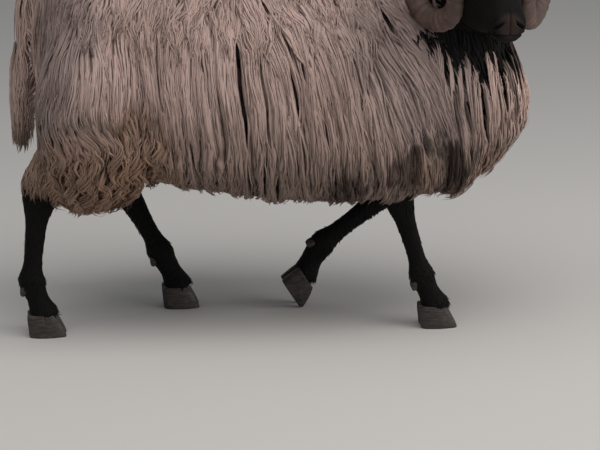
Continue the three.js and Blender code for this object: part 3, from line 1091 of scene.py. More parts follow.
print({side: len(lines) for side, lines in PARTINGS.items()}, "partings")

# %% [markdown]
# The fleece also hangs in long soft folds that follow its lie. A fold keeps to one streamline, and
# what names a streamline is where it would cross mid-height. Round chest and rump that turns to y.
# Several sizes of fold are added up, each as [width, strength, where it starts].

# %% Folds
FOLDS = [[17, 0.35, 0.4], [23, 0.55, 2.1], [31, 0.45, 4.0], [47, 0.40, 1.3]]
MID_HEIGHT = 450
WALK = 24


def streamline(b):
    """Where the streamline through each place crosses mid-height."""
    x, y, z = b[:, 0], np.abs(b[:, 1]), b[:, 2]
    line, step = x, (MID_HEIGHT - z) / WALK
    for k in range(WALK):
        line = line - lean(line, z + k * step) * step
    return line - y * smooth(x, 340, 440) + y * smooth(x, -370, -410)


def crest_of(line, side):
    """About 1 on the crest of a fold and about -1 in a hollow."""
    return sum(share * np.sin(line / size * 2 * np.pi + start + side) for size, share, start in FOLDS)


def fold_wool(b):
    """How far a lock is drawn to the crest of its fold, and how deep its hollow is, in millimetres."""
    line = streamline(b) + 5 * wave(b, 103, 260)
    side = np.sign(b[:, 1])
    slope = crest_of(line + 0.5, side) - crest_of(line - 0.5, side)
    crest = crest_of(line, side)
    valley = smooth(crest, -0.35, -1.0) * smooth(wave(b, 104, 150), -0.7, 0.3)
    calm = 1 - 0.7 * smooth(b[:, 2], 470, 550)
    hollow = 1.6 * np.clip(1 - crest, 0, 2.2) + 4.5 * valley
    return 15 * np.clip(slope, -0.3, 0.3) * calm, hollow * calm, valley * calm


print("fold widths", [row[0] for row in FOLDS], "mm")

# %% [markdown]
# Now the locks themselves. Each has a root and a length of its own and follows the nearest guide. One
# in eight is deep: broad, and low in the fleece, which it fills. Half are fine and lie on top, and
# the rest are between the two.

# %% Roots and kinds of lock
PER_STAPLE = 16
HEM = 0.214
root = sample(envelope, LOCKS, woolly)
tree = KDTree(GUIDES)
for i, p in enumerate(guide_root[:GUIDES]):
    tree.insert(Vector(p), i)
tree.balance()
guide = np.array([tree.find(Vector(p))[1] for p in root])
guide = np.concatenate([guide, np.repeat(np.nonzero(own)[0], PER_STAPLE)])
strewn = chance.normal(size=(PER_STAPLE * own.sum(), 3)) * [0.004, 0.004, 0.010]
root, root_out = nearest(outer, np.concatenate([root, guide_root[guide[LOCKS:]] + strewn]))
LOCKS = len(root)
own = own[guide]
kind = chance.random(LOCKS)
deep = (kind < 0.12) & ~own
fine = (kind > 0.48) | own
b = body(root)
low = under(root_out)
curly = britch(b)
crest = smooth(root_out[:, 2], 0.80, 0.96)
collar = smooth(dark_zone(root), 60, 15) * (b[:, 2] > 330)
staple = np.maximum(np.maximum(curly, collar * smooth(b[:, 0], 240, 300)), own)
reach = chance.uniform(0.72, 1.04, LOCKS)
print(LOCKS, "locks,", int(deep.sum()), "deep,", int(fine.sum()), "fine")

# %% [markdown]
# A lock copies its guide's path from beside it, and draws closer to it towards the tip. In a staple
# it draws in almost wholly; a deep lock hardly does.

# %% Locks follow their guides
along = np.linspace(0, 1, ROWS)[None, :] * reach[:, None]
index = along * STEPS
i0 = np.minimum(index.astype(int), STEPS - 1)
mix = (index - i0)[..., None]


def follow(values):
    """What each lock's guide has at each of the lock's rows."""
    chosen = values[guide]
    pick = np.arange(LOCKS)[:, None]
    return chosen[pick, i0] * (1 - mix) + chosen[pick, i0 + 1] * mix


middle, way, out = follow(path), unit(follow(ways)), unit(follow(outs))
across = unit(np.cross(way, out))
apart = root - guide_root[guide]
beside = (apart * sideways[guide, 0]).sum(-1)
onward = (apart * ways[guide, 0]).sum(-1)
t = np.linspace(0, 1, ROWS)[None, :]
gather = np.where(fine, 0.3, 0.15) + 0.3 * chance.random(LOCKS)
gather = np.where(deep, 0.1, gather * (1 - staple) + staple * chance.uniform(0.6, 0.82, LOCKS))
gather = gather[:, None] * smooth(t, 0.1 - 0.2 * staple[:, None], 1.0 - 0.5 * staple[:, None])
middle = middle + across * (beside[:, None] * (1 - gather))[..., None]
middle = middle + way * (onward[:, None] * (1 - 0.3 * t))[..., None]
print("locks drawn from", middle.shape[1], "rows each")

# %% [markdown]
# The wave of the guide swings the lock from side to side and lifts it in and out, so that a curl is
# round. A finer wave of its own keeps each lock apart from its neighbours.

# %% Waves of the locks
distance = along * length[guide][:, None]
phase = distance / coil_length[guide][:, None] * 2 * np.pi + coil_start[guide][:, None]
phase = phase + (0.3 - 0.18 * curly)[:, None] * chance.normal(size=(LOCKS, 1))
swing = coil_width[guide] * (1 + 0.3 * smooth(b[:, 2], 330, 260) * (1 - curly))
sweep = np.sin(phase) * smooth(t, 0.05, 0.6) * swing[:, None]
sweep += np.sin(distance / 60 * 2 * np.pi + chance.uniform(0, 6.3, (LOCKS, 1))) * 0.7 * t
middle = middle + across * (sweep / 1000)[..., None]
lift = np.cos(phase) * smooth(t, 0.2, 0.9) * (0.5 + curly * 0.45 * coil_width[guide])[:, None]
print("widest swing", round(float(swing.max()), 1), "mm")

# %% [markdown]
# Every lock starts low in the coat, rises to its level just under the surface, and ends with its tip
# outermost. Round each guide the locks in the middle stand highest, so that staples show as soft
# ridges. `below` is how far under the surface each row of a lock lies, in millimetres.

# %% Levels and widths
crown = smooth(b[:, 2], 540, 590)
depth = (20 - 6 * low) * (1 - 0.6 * crown) * (1 - 0.92 * crest) * (1 - 0.6 * collar)
start = 0.42 - 0.22 * np.maximum(crest, collar)
below = depth[:, None] * (1 - smooth(t, -0.15, start[:, None]))
deep_level = chance.uniform(3.2, 4.8, LOCKS) - 1.4 * crown
level = np.where(deep, deep_level, np.where(fine, 0.5, 1.1) + 0.8 * chance.random(LOCKS))
to_side = (1.2 + 2.4 * staple) * np.minimum(np.abs(beside) / 0.014, 1) ** 2
level = level + np.where(deep, 0, to_side + staple * staple_level[guide])
level = level + 1.2 * (1 + wave(root, 91, 0.09))
below = below + level[:, None] * (1 - 0.6 * t * fine[:, None]) - lift * (~deep)[:, None]
below = below + 1.5 * smooth(t, 0.65, 1) * (~fine)[:, None]
deep_width = chance.uniform(6, 9, LOCKS) * (1 - 0.45 * curly)
width = np.where(deep, deep_width, chance.uniform(2.2, 4.0, LOCKS))
width = np.where(fine, chance.uniform(1.0, 2.0, LOCKS), width)
half = width[:, None] * TAPER / 1000
thick = half * np.where(deep, 0.16, np.where(fine, 0.32, 0.18))[:, None]
print("mean level of deep and fine locks", level[deep].mean().round(1), level[fine].mean().round(1))

# %% [markdown]
# Folds draw the locks to their crests, and partings push them aside. The locks at the bottom of a
# deep parting sink further still, for there one looks down into the dark of the coat.

# %% Folds and partings applied
pull, hollow, valley = fold_wool(b)
pull = pull * ~deep * (1 - 0.8 * curly) * np.sign(across[:, 0, 0])
middle = middle + across * (pull[:, None] * smooth(t, 0, 0.3))[..., None] / 1000
shift, sink = part_wool(middle, width, deep)
in_parting = (sink * deep[:, None]).max(1) > 11
sink = sink + 7.0 * in_parting[:, None]
sink = sink + (hollow * (1 - 0.7 * curly))[:, None]
middle[:, :, 0] += shift / 1000
middle = middle - out * ((below + sink * smooth(t, 0.1, 0.3)) / 1000)[..., None]
middle[:, :, 2] = np.maximum(middle[:, :, 2], HEM)
print(int(in_parting.sum()), "locks lie at the bottom of a parting")

# %% [markdown]
# A lock's tone makes it lighter or darker than the wool round it. The chest's front is palest, partly
# cleaner wool and partly painted light, the staples over the throat are white, and deep locks and the
# hollows of folds and partings are darkened with painted shade. A lock is black or not by where its
# root is, but a throat staple by its tip, which hangs clear of the black.

# %% Tones
place_of_marks = np.where(own[:, None], middle[:, -1], root)
# a random tone per lock and per place; deep locks are darkened as painted shade of the coat's depth
tone = 0.12 * chance.normal(size=LOCKS) + 0.3 * wave(root, 71, 0.05) - 0.5 * deep
# painted shade in the hollows of the folds, and a tone of its own for each curly staple
tone = tone - 1.1 * valley * (1 - curly) + 0.8 * staple_tone[guide]
# the pale blot on the chest's front: cleaner wool, with painted light on it
pale = np.exp(-(((root - at(436, -45, 468)) / 0.09) ** 2).sum(-1))
tone = np.clip(tone + 4 * pale + 1.6 * own, -2, 4)
# the locks at the bottom of a parting are darkened as painted shade
tone = np.where(in_parting, -6.3, tone)
print("tones", tone.min().round(1), "to", tone.max().round(1))

# %% [markdown]
# The unwrap treats the body as a capsule, a tube with round ends: how far along it a root is, and how
# far round. The locks are shared out along the body among eight pieces of about equal size.

# %% Unwrap and pieces
BACK_LINE = [at(-300, 0, 470), at(300, 0, 450)]
PIECES = 8


def capsule(points, a, z):
    """How far along and how far round the line from a to z each point is."""
    span = z - a
    share = (points - a) @ unit(span)
    rest = points - a - np.clip(share, 0, np.linalg.norm(span))[:, None] * unit(span)
    beyond = rest @ unit(span)
    across = rest - beyond[:, None] * unit(span)
    radius = np.maximum(np.linalg.norm(rest, axis=1), 1e-6)
    tilt = np.arcsin(np.clip(beyond / radius, -1, 1))
    place = np.clip(share, 0, np.linalg.norm(span)) + tilt * 0.25
    return np.stack([place, np.arctan2(across[:, 1], across[:, 2])], -1)


unwrapped = capsule(root, *BACK_LINE)
order = np.argsort(unwrapped[:, 0])
fleece = []
for number, part in enumerate(np.array_split(order, PIECES)):
    fleece.append(
        strands(
            f"fleece_{number + 1}",
            middle[part],
            across[part],
            out[part],
            half[part],
            thick[part],
            place_of_marks[part],
            spread(unwrapped[part]),
            tone[part],
        )
    )

# %% [markdown]
# ## The tail's wool
# The tail hangs free behind the thighs, wrapped in locks that fall straight down. They need no guides:
# each falls from its root, is drawn part of the way to the tail's own surface, and waves a little.

# %% Tail wool
TAIL_LOCKS = 1500
tail_outer = copy_of("tail_surface", "tail", "trunk")
tail_tree = BVHTree.FromObject(tail_outer, bpy.context.evaluated_depsgraph_get())
TAIL_LINE = [at(-392, 0, 676), at(-445, 0, 330)]


def on_tail(points):
    """1 on the tail and where it leaves the rump."""
    return 1.0 * (near_line(points, *TAIL_LINE) < 0.042) * (points[:, 0] < at(-380, 0, 0)[0])


tail_root, tail_out = nearest(tail_tree, sample(tail_outer, TAIL_LOCKS, on_tail))
not_under = tail_out[:, 2] > -0.4
tail_root, tail_out = tail_root[not_under], tail_out[not_under]
TAIL_LOCKS = len(tail_root)
tail_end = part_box("tail")[0].z
t = np.linspace(0, 1, ROWS)[None, :, None]
tail_length = chance.uniform(0.09, 0.17, TAIL_LOCKS)
tail_length = np.minimum(tail_length, tail_root[:, 2] - tail_end + chance.uniform(-0.03, 0.008, TAIL_LOCKS))
tail_length = np.maximum(tail_length, 0.02)[:, None, None]
fall = tail_root[:, None] - t * tail_length * UP
on, normal = nearest(tail_tree, np.maximum(fall, [-9, -9, tail_end + 0.03]).reshape(-1, 3))
on, tail_outs = on.reshape(fall.shape), normal.reshape(fall.shape) * [1, 1, 0.2]
tail_outs = unit(tail_outs + 0.5 * tail_out[:, None])
tail_level = chance.uniform(0.0005, 0.004, (TAIL_LOCKS, 1, 1)) + 0.008 * (1 - smooth(t, 0, 0.35))
hold = 0.75 - 0.35 * t
tail_middle = on * hold + fall * (1 - hold) - tail_outs * tail_level
tail_middle[:, :, 2] = fall[:, :, 2]
tail_across = unit(np.cross(unit(np.gradient(tail_middle, axis=1)), tail_outs))
curl = tail_root[:, None, 2:] * 40 + t * tail_length * 55 + 0.5 * chance.normal(size=(TAIL_LOCKS, 1, 1))
tail_middle = tail_middle + tail_across * np.sin(curl) * 0.005 * smooth(t, 0, 0.5)
tail_half = chance.uniform(1.2, 3.4, TAIL_LOCKS)[:, None] * TAPER / 1000
tail_tone = np.clip(0.35 * chance.normal(size=TAIL_LOCKS), -1, 1)
tail_wool = strands(
    "fleece_tail",
    tail_middle,
    tail_across,
    tail_outs,
    tail_half,
    tail_half * 0.4,
    tail_root,
    spread(capsule(tail_root, at(-440, 0, 350), at(-440, 0, 600))),
    tail_tone,
)
bpy.data.objects.remove(tail_outer)

# %% [markdown]
# ## The haunches' wool
# At the back of each thigh the leg comes out through the fleece. There curly locks grow on the skin
# itself and hang over the top of the black leg. They are made as the tail's are, from the skin.

# %% Haunch wool
HAUNCH_LOCKS = 1500
skin_tree = BVHTree.FromObject(skin, bpy.context.evaluated_depsgraph_get())


def bare_haunch(points):
    """1 where the thigh's skin is outside the fleece or close under it, above the black leg."""
    level = (points[:, 2] > 0.295) & (points[:, 2] < 0.46) & (near_line(points, *TAIL_LINE) > 0.06)
    here = (dark_zone(points) > 1) & level & (points[:, 0] < at(-150, 0, 0)[0])
    share = np.zeros(len(points))
    on, normal = nearest(outer, points[here])
    share[here] = ((points[here] - on) * normal).sum(-1) > -0.014
    return share


haunch_root, haunch_out = nearest(skin_tree, sample(skin, HAUNCH_LOCKS, bare_haunch))
haunch_length = chance.uniform(0.030, 0.055, (HAUNCH_LOCKS, 1, 1))
fall = haunch_root[:, None] + 0.004 * haunch_out[:, None] - t * haunch_length * UP
on, normal = nearest(skin_tree, fall.reshape(-1, 3))
on, haunch_outs = on.reshape(fall.shape), unit(normal.reshape(fall.shape) + haunch_out[:, None])
off_skin = chance.uniform(0.001, 0.006, (HAUNCH_LOCKS, 1, 1)) * smooth(t, 0, 0.4) + 0.004 * t
haunch_middle = 0.6 * on + 0.4 * fall + haunch_outs * off_skin
haunch_middle[:, :, 2] = fall[:, :, 2]
haunch_across = unit(np.cross(unit(np.gradient(haunch_middle, axis=1)), haunch_outs))
curl = 5 * wave(haunch_root, 121, 0.04) + 0.35 * chance.normal(size=HAUNCH_LOCKS)
curl = curl[:, None, None] + t * haunch_length / 0.075 * 2 * np.pi
haunch_middle = haunch_middle + haunch_across * np.sin(curl) * 0.007 * smooth(t, 0, 0.4)
haunch_half = chance.uniform(1.2, 2.6, HAUNCH_LOCKS)[:, None] / 1000
haunch_half = haunch_half * TAPER
haunch_wool = strands(
    "haunch_wool",
    haunch_middle,
    haunch_across,
    haunch_outs,
    haunch_half,
    haunch_half * 0.3,
    haunch_root,
    spread(capsule(haunch_root, at(-420, 0, 260), at(-420, 0, 420))),
    0.5 * wave(haunch_root, 122, 0.03) + 0.15 * chance.normal(size=HAUNCH_LOCKS),
)

# %% [markdown]
# ## Short hair
# Head, throat, ears and legs have short flat hair. It is mostly in the material's bump, with fine
# tufts that break the outline. They point away from the nose on the head and down on the legs.

# %% Roots of the short hair
HAIRS = 8800
HAIR_ROWS = 5


def hair_weight(points):
    """1 on the dark parts; none at the eyes, nostrils and lips, and fewer just above the claws."""
    edge = dark_zone(points)
    q = to_head(points)
    to_eye, to_nose = face_parts(q)
    face = (np.abs(q[:, 1]) < 75) & (np.abs(q[:, 2]) < 95) & (q[:, 0] > -66)
    keep = (edge < 6) & ~(face & ((to_eye < 17) | (to_nose < 24)))
    return keep * (1 - 0.6 * (points[:, 2] < 0.045))


hair_root, hair_out = nearest(skin_tree, sample(skin, HAIRS, hair_weight))
q = to_head(hair_root)
on_ear = np.min([near_line(hair_root, a, z) for a, z in EAR_LINES], axis=0) < 0.027
on_head = on_ear | (near_line(hair_root, HEAD - HEAD_X * 0.03, NOSE) < 0.088) & (q[:, 0] > -60)
on_leg = hair_root[:, 2] < 0.43
on_neck = ~on_head & ~on_leg
print("tufts on ears, head, legs, throat", [int(on.sum()) for on in (on_ear, on_head, on_leg, on_neck)])

# %% [markdown]
# A tuft needs no guide either. It lies along the skin, rises a little in the middle and, on the
# throat, falls towards its tip.

# %% Tufts of short hair
way = np.where(on_leg[:, None], np.array([0, 0, -1.0]), -HEAD_X)
way = np.where(on_neck[:, None], np.array([0.25, 0.1, -1.0]), way)
way = np.where(on_ear[:, None], np.sign(q[:, 1:2]) * HEAD_Y + 0.3 * HEAD_X, way)
way = way + 0.16 * chance.normal(size=(HAIRS, 3))
way = unit(way - hair_out * (way * hair_out).sum(-1, keepdims=True))
hair_length = np.select(
    [on_ear, on_head, on_leg],
    [8.0, 6 + 7 * smooth(q[:, 0], 60, -20), 12 + 5 * smooth(hair_root[:, 2], 0.15, 0.24)],
    30 + 14 * chance.random(HAIRS),
)
hair_length = hair_length * chance.uniform(0.8, 1.25, HAIRS) / 1000
t = np.linspace(0, 1, HAIR_ROWS)[None, :, None]
raise_up = np.select([on_neck, on_head], [5.0, 0.5], 1.1) * chance.uniform(0.6, 1.4, HAIRS) / 1000
hair_mid = hair_root[:, None] + way[:, None] * hair_length[:, None, None] * t
hair_mid = hair_mid + hair_out[:, None] * (raise_up[:, None, None] * np.sin(t * 1.9) - 0.0012)
hair_mid = hair_mid - UP * (0.006 * on_neck[:, None, None] * t * t)
hair_outs = np.repeat(hair_out[:, None], HAIR_ROWS, 1)
hair_across = unit(np.cross(np.repeat(way[:, None], HAIR_ROWS, 1), hair_outs))
hair_half = np.select([on_ear, on_head, on_leg], [0.9, 0.75, 1.4], 2.6)
hair_half = hair_half * chance.uniform(0.7, 1.3, HAIRS) / 1000
hair_half = hair_half[:, None] * [0.8, 1.0, 0.9, 0.6, 0.1]
hair_tone = np.clip(0.4 * chance.normal(size=HAIRS), -1, 1)

# %% [markdown]
# On its map each leg has a strip of its own, side by side along the bottom, and head and throat share
# the part above them.

# %% Short hair on its map
chart = np.empty((HAIRS, 2))
leg_centres = [at(*line[5][:3]) for line in LEG_LINES.values()]
which = np.argmin([np.linalg.norm((hair_root - c)[:, :2], axis=1) for c in leg_centres], axis=0)
for number, line in enumerate(LEG_LINES.values()):
    mine = on_leg & (which == number)
    if mine.any():
        spot = spread(capsule(hair_root[mine], at(*line[9][:3]), at(*line[3][:3])))
        chart[mine] = spot[:, ::-1] * [0.24, 0.38] + [number * 0.25, 0.0]
rest = ~on_leg
chart[rest] = spread(capsule(hair_root[rest], THROAT, NOSE)) * [1.0, 0.58] + [0, 0.41]
hair = strands(
    "short_hair",
    hair_mid,
    hair_across,
    hair_outs,
    hair_half,
    hair_half * 0.5,
    hair_root,
    chart,
    hair_tone,
)

# %% [markdown]
# ## Wool under the parting of the back
# Along the middle of the back the fleece falls away to both sides. Short locks that run backwards
# lie a little under the surface there, so that no skin shows between the two sides.

# %% Spine wool
SPINE_LOCKS = 450


def ridge(points):
    """1 along the middle of the back and neck, where the surface is level from side to side."""
    on, normal = nearest(outer, points)
    return (np.abs(normal[:, 1]) < 0.16) * (body(points)[:, 2] > 500) * woolly(points)


spine_root = nearest(outer, sample(envelope, SPINE_LOCKS, ridge))[0]
t = np.linspace(0, 1, ROWS)[None, :, None]
spine_way = np.array([-1.0, 0, 0]) + 0.3 * chance.normal(size=(SPINE_LOCKS, 3)) * [0, 1, 0]
spine_length = chance.uniform(0.050, 0.080, (SPINE_LOCKS, 1, 1))
spine_middle = spine_root[:, None] + t * spine_length * unit(spine_way)[:, None]
on, normal = nearest(outer, spine_middle.reshape(-1, 3))
spine_outs = normal.reshape(spine_middle.shape)
spine_level = chance.uniform(0.003, 0.006, (SPINE_LOCKS, 1, 1)) + 0.005 * (1 - smooth(t, 0, 0.3))
spine_middle = on.reshape(spine_middle.shape) - spine_outs * spine_level
spine_across = unit(np.cross(unit(np.gradient(spine_middle, axis=1)), spine_outs))
spine_half = chance.uniform(2.5, 4.5, SPINE_LOCKS)[:, None] / 1000
spine_half = spine_half * TAPER
spine_wool = strands(
    "spine_wool",
    spine_middle,
    spine_across,
    spine_outs,
    spine_half,
    spine_half * 0.25,
    spine_root,
    spread(capsule(spine_root, *BACK_LINE)),
    0.3 * wave(spine_root, 131, 0.03) + 0.15 * chance.normal(size=SPINE_LOCKS) - 0.4,
)

# %% [markdown]
# ## Materials
# Small node groups hold what several materials share. They are written in code, not wired by hand,
# so `Nodes` gives each kind of node a short call that returns its output.


# %% Node tools
class Nodes:
    """A short way to write node trees: each call adds a node and gives its output."""

    def __init__(self, tree):
        self.tree = tree

    def add(self, kind, **settings):
        node = self.tree.nodes.new(kind)
        for key, value in settings.items():
            setattr(node, key, value)
        return node

    def feed(self, socket, value):
        if isinstance(value, bpy.types.NodeSocket):
            self.tree.links.new(value, socket)
        else:
            socket.default_value = value

    def math(self, operation, a, b=0.0, clamp=False):
        node = self.add("ShaderNodeMath", operation=operation, use_clamp=clamp)
        self.feed(node.inputs[0], a)
        self.feed(node.inputs[1], b)
        return node.outputs[0]

    def vector(self, operation, a, b=(0, 0, 0)):
        node = self.add("ShaderNodeVectorMath", operation=operation)
        self.feed(node.inputs[0], a)
        if operation == "SCALE":
            self.feed(node.inputs["Scale"], b)
        else:
            self.feed(node.inputs[1], b)
        return node.outputs["Value" if operation in ("DOT_PRODUCT", "LENGTH") else "Vector"]

    def noise(self, place, scale, detail=2.0, roughness=0.5):
        node = self.add("ShaderNodeTexNoise")
        self.feed(node.inputs["Vector"], place)
        node.inputs["Scale"].default_value = scale
        node.inputs["Detail"].default_value = detail
        node.inputs["Roughness"].default_value = roughness
        return node.outputs["Fac"]

    def ramp(self, value, low, high, to_low=0.0, to_high=1.0):
        node = self.add("ShaderNodeMapRange", interpolation_type="SMOOTHSTEP")
        self.feed(node.inputs["Value"], value)
        for key, number in (("From Min", low), ("From Max", high), ("To Min", to_low), ("To Max", to_high)):
            self.feed(node.inputs[key], number)
        return node.outputs["Result"]

    def mix(self, share, a, b, kind="MIX"):
        node = self.add("ShaderNodeMix", data_type="RGBA", blend_type=kind)
        self.feed(node.inputs["Factor"], share)
        self.feed(node.inputs[6], a)
        self.feed(node.inputs[7], b)
        return node.outputs[2]

    def group(self, tree, **inputs):
        node = self.add("ShaderNodeGroup", node_tree=tree)
        for key, value in inputs.items():
            self.feed(node.inputs[key.replace("_", " ")], value)
        return node


def new_group(name, inputs, outputs):
    tree = bpy.data.node_groups.new(name, "ShaderNodeTree")
    for label, kind in inputs:
        tree.interface.new_socket(label, in_out="INPUT", socket_type=kind)
    for label, kind in outputs:
        tree.interface.new_socket(label, in_out="OUTPUT", socket_type=kind)
    n = Nodes(tree)
    return tree, n, n.add("NodeGroupInput").outputs, n.add("NodeGroupOutput").inputs


VECTOR, FLOAT, COLOR = "NodeSocketVector", "NodeSocketFloat", "NodeSocketColor"

# %% [markdown]
# `Distance to part` does in nodes what `near_line` does in code. The distance of a place from a line
# is what is left after taking away the part that runs along it.

# %% Distance to part
near_tree, n, given, gives = new_group(
    "Distance to part", [("Place", VECTOR), ("From", VECTOR), ("To", VECTOR)], [("Distance", FLOAT)]
)
span = n.vector("SUBTRACT", given["To"], given["From"])
rest = n.vector("SUBTRACT", given["Place"], given["From"])
share = n.math("DIVIDE", n.vector("DOT_PRODUCT", rest, span), n.vector("DOT_PRODUCT", span, span), clamp=True)
off = n.vector("SUBTRACT", rest, n.vector("SCALE", span, share))
n.feed(gives["Distance"], n.vector("LENGTH", off))
print(near_tree.name, "has", len(near_tree.nodes), "nodes")

# %% [markdown]
# `Markings` tells from a place on the body what colour grows there: Dark for face, throat and legs,
# Tan for the stained britch and hem, Grey for the greyer wool of rump and shoulder, and the last for
# the painted shade in the hollow of the elbow's fold and the dark brown on the throat's front and under
# the belly. Each mark is a blot round a place or along a line. Its edge is streaky, because wool takes a
# stain, and shade, lock by lock.

# %% Markings
marks_tree, n, given, gives = new_group(
    "Markings", [("Place", VECTOR)], [("Dark", FLOAT), ("Tan", FLOAT), ("BrownAndShade", FLOAT), ("Grey", FLOAT)]
)
ragged = n.math("MULTIPLY", n.math("SUBTRACT", n.noise(given["Place"], 24.0, 3.0), 0.5), 0.030)
edge = None
for a, z, radius in DARK_PARTS:
    part = n.group(near_tree, Place=given["Place"], From=tuple(a), To=tuple(z)).outputs["Distance"]
    part = n.math("SUBTRACT", part, radius)
    edge = part if edge is None else n.math("MINIMUM", edge, part)
n.feed(gives["Dark"], n.ramp(n.math("ADD", edge, ragged), 0.003, -0.003))
streaked = n.noise(n.vector("MULTIPLY", given["Place"], (85, 85, 16)), 1.0, 2.0)
streaked = n.math("ADD", ragged, n.math("MULTIPLY", n.math("SUBTRACT", streaked, 0.5), 0.06))


def blot(place, radius, end=None, share=1.0):
    """Strongest at a place, or along a line to end, and gone at the radius; its edge is streaky."""
    end = place + UP * 0.001 if end is None else end
    gap = n.group(near_tree, Place=given["Place"], From=tuple(place), To=tuple(end)).outputs["Distance"]
    return n.ramp(n.math("ADD", gap, streaked), radius, radius * 0.35, 0.0, share)


def together(values):
    """The strongest of several blots."""
    total = values[0]
    for value in values[1:]:
        total = n.math("MAXIMUM", total, value)
    return total


tan = [
    blot(at(-330, -190, 270), 0.160, share=0.85),
    blot(at(-250, -200, 285), 0.110),
    blot(at(-225, -215, 350), 0.065, at(-250, -215, 385), share=0.75),
    blot(at(264, -190, 300), 0.045, share=0.45),
    blot(at(392, -100, 290), 0.065, share=0.4),
    blot(at(-250, 190, 275), 0.150, share=0.85),
    blot(at(-400, -90, 290), 0.120, share=0.5),
    blot(at(-285, 95, 290), 0.120, share=0.5),
]
n.feed(gives["Tan"], together(tan))
grey = [
    blot(at(200, -200, 530), 0.150, at(270, -170, 440), share=0.75),
    blot(at(-380, -150, 560), 0.130, at(-400, -140, 420), share=0.9),
    blot(at(200, 200, 530), 0.150, share=0.6),
    blot(at(-400, 120, 500), 0.150, share=0.6),
]
n.feed(gives["Grey"], together(grey))
# the blots round the elbow's fold paint the shade of its hollow under the chest's wool; the one under the
# belly and those on the throat's front darken the wool there
brown_and_shade = [
    blot(at(262, -190, 348), 0.030, at(284, -188, 352), share=0.6),
    blot(at(296, -182, 335), 0.036, at(304, -176, 312), share=0.9),
    blot(at(312, -172, 312), 0.056, at(318, -166, 262)),
    blot(at(232, -192, 335), 0.030, at(230, -190, 285), share=0.8),
    blot(at(203, -190, 300), 0.036, share=0.8),
    blot(at(112, -188, 275), 0.060, share=0.85),
    blot(at(432, -50, 482), 0.066, share=0.9),
    blot(at(382, -110, 455), 0.026, at(388, -108, 425), share=0.8),
    blot(at(408, -85, 440), 0.026, at(414, -82, 400), share=0.8),
]
n.feed(gives["BrownAndShade"], together(brown_and_shade))
print(len(tan), "tan,", len(grey), "grey and", len(brown_and_shade), "dusk blots")

# %% [markdown]
# Strand shades one lock: fine hairs run along it, its root is darkened with painted shade, and each lock has
# a tone, which carries painted shade and light too.

# %% Strand shading
strand_tree, n, given, gives = new_group(
    "Strand", [("Fineness", FLOAT)], [("Hairs", FLOAT), ("Along", FLOAT), ("Tone", FLOAT)]
)
maps = n.add("ShaderNodeUVMap", uv_map="strand").outputs["UV"]
apart = n.add("ShaderNodeSeparateXYZ")
n.feed(apart.inputs[0], maps)
run = n.add("ShaderNodeCombineXYZ")
n.feed(run.inputs[0], n.math("MULTIPLY", apart.outputs[0], given["Fineness"]))
n.feed(run.inputs[1], n.math("MULTIPLY", apart.outputs[1], 1.6))
n.feed(gives["Hairs"], n.noise(run.outputs[0], 1.0, 2.0, 0.6))
n.feed(gives["Along"], apart.outputs[1])
n.feed(gives["Tone"], n.add("ShaderNodeAttribute", attribute_name="tone").outputs["Fac"])
print(strand_tree.name, "has", len(strand_tree.nodes), "nodes")

# %% [markdown]
# Every material starts the same way, from one shader, and most have a bump.


# %% Material and bump
def material(name):
    """A new material, its nodes and its shader's sockets."""
    mat = bpy.data.materials.new(name)
    mat.use_nodes = True
    mat.node_tree.nodes.clear()
    n = Nodes(mat.node_tree)
    shader = n.add("ShaderNodeBsdfPrincipled")
    end = n.add("ShaderNodeOutputMaterial")
    n.feed(end.inputs["Surface"], shader.outputs[0])
    return mat, n, shader.inputs


def bump(n, height, strength, distance):
    """A normal from a height, where 1 stands distance metres high."""
    node = n.add("ShaderNodeBump")
    node.inputs["Strength"].default_value = strength
    node.inputs["Distance"].default_value = distance
    n.feed(node.inputs["Height"], height)
    return node.outputs["Normal"]


# %% [markdown]
# The coat's colours: cream-grey wool, darker towards the hem with dirt and painted shade, tan where it
# is stained, dark brown on the throat's front and under the belly, painted shade in the elbow's fold,
# black hair. One group serves the wool, the short hair and the skin, so that all carry the same markings.
# Whether a lock is black depends on where its root is, given as Place, so that white locks hang whole over
# black ones. The stains and the painted shade run across locks, so they go by the place itself, Here.

# %% Coat colours
CREAM, OLD_CREAM = (0.60, 0.440, 0.395, 1), (0.51, 0.370, 0.325, 1)
DIRT_AND_SHADE = (0.23, 0.165, 0.135, 1)
GREY_WOOL = (0.36, 0.275, 0.255, 1)
# darker wool for the hem: partly dirt, partly painted shade of the low flank and belly
TAN_WOOL = (0.34, 0.215, 0.15, 1)
# dark brown: painted shade in the elbow's fold, and darker wool on the throat and under the belly
BROWN_AND_SHADE_WOOL = (0.045, 0.031, 0.026, 1)
BLACK, WORN_BLACK = (0.0032, 0.0029, 0.003, 1), (0.009, 0.0082, 0.008, 1)
coat_tree, n, given, gives = new_group(
    "Coat",
    [("Place", VECTOR), ("Here", VECTOR), ("Along", FLOAT), ("Tone", FLOAT), ("Hairs", FLOAT)],
    [("Color", COLOR)],
)
marks = n.group(marks_tree, Place=given["Place"]).outputs
stains = n.group(marks_tree, Place=given["Here"]).outputs
cream = n.mix(n.ramp(n.noise(given["Here"], 7.0, 3.0), 0.35, 0.7), CREAM, OLD_CREAM)
height = n.add("ShaderNodeSeparateXYZ")
n.feed(height.inputs[0], given["Here"])
# darker towards the hem: dirt, and painted shade on the low flank and under the belly
cream = n.mix(n.ramp(height.outputs[2], 0.46, 0.27, 0.0, 0.85), cream, DIRT_AND_SHADE)
cream = n.mix(stains["Grey"], cream, GREY_WOOL)
cream = n.mix(stains["Tan"], cream, TAN_WOOL)
# painted shade in the elbow's fold, and dark brown on the throat and under the belly
cream = n.mix(n.math("MULTIPLY", stains["BrownAndShade"], 0.95), cream, BROWN_AND_SHADE_WOOL)
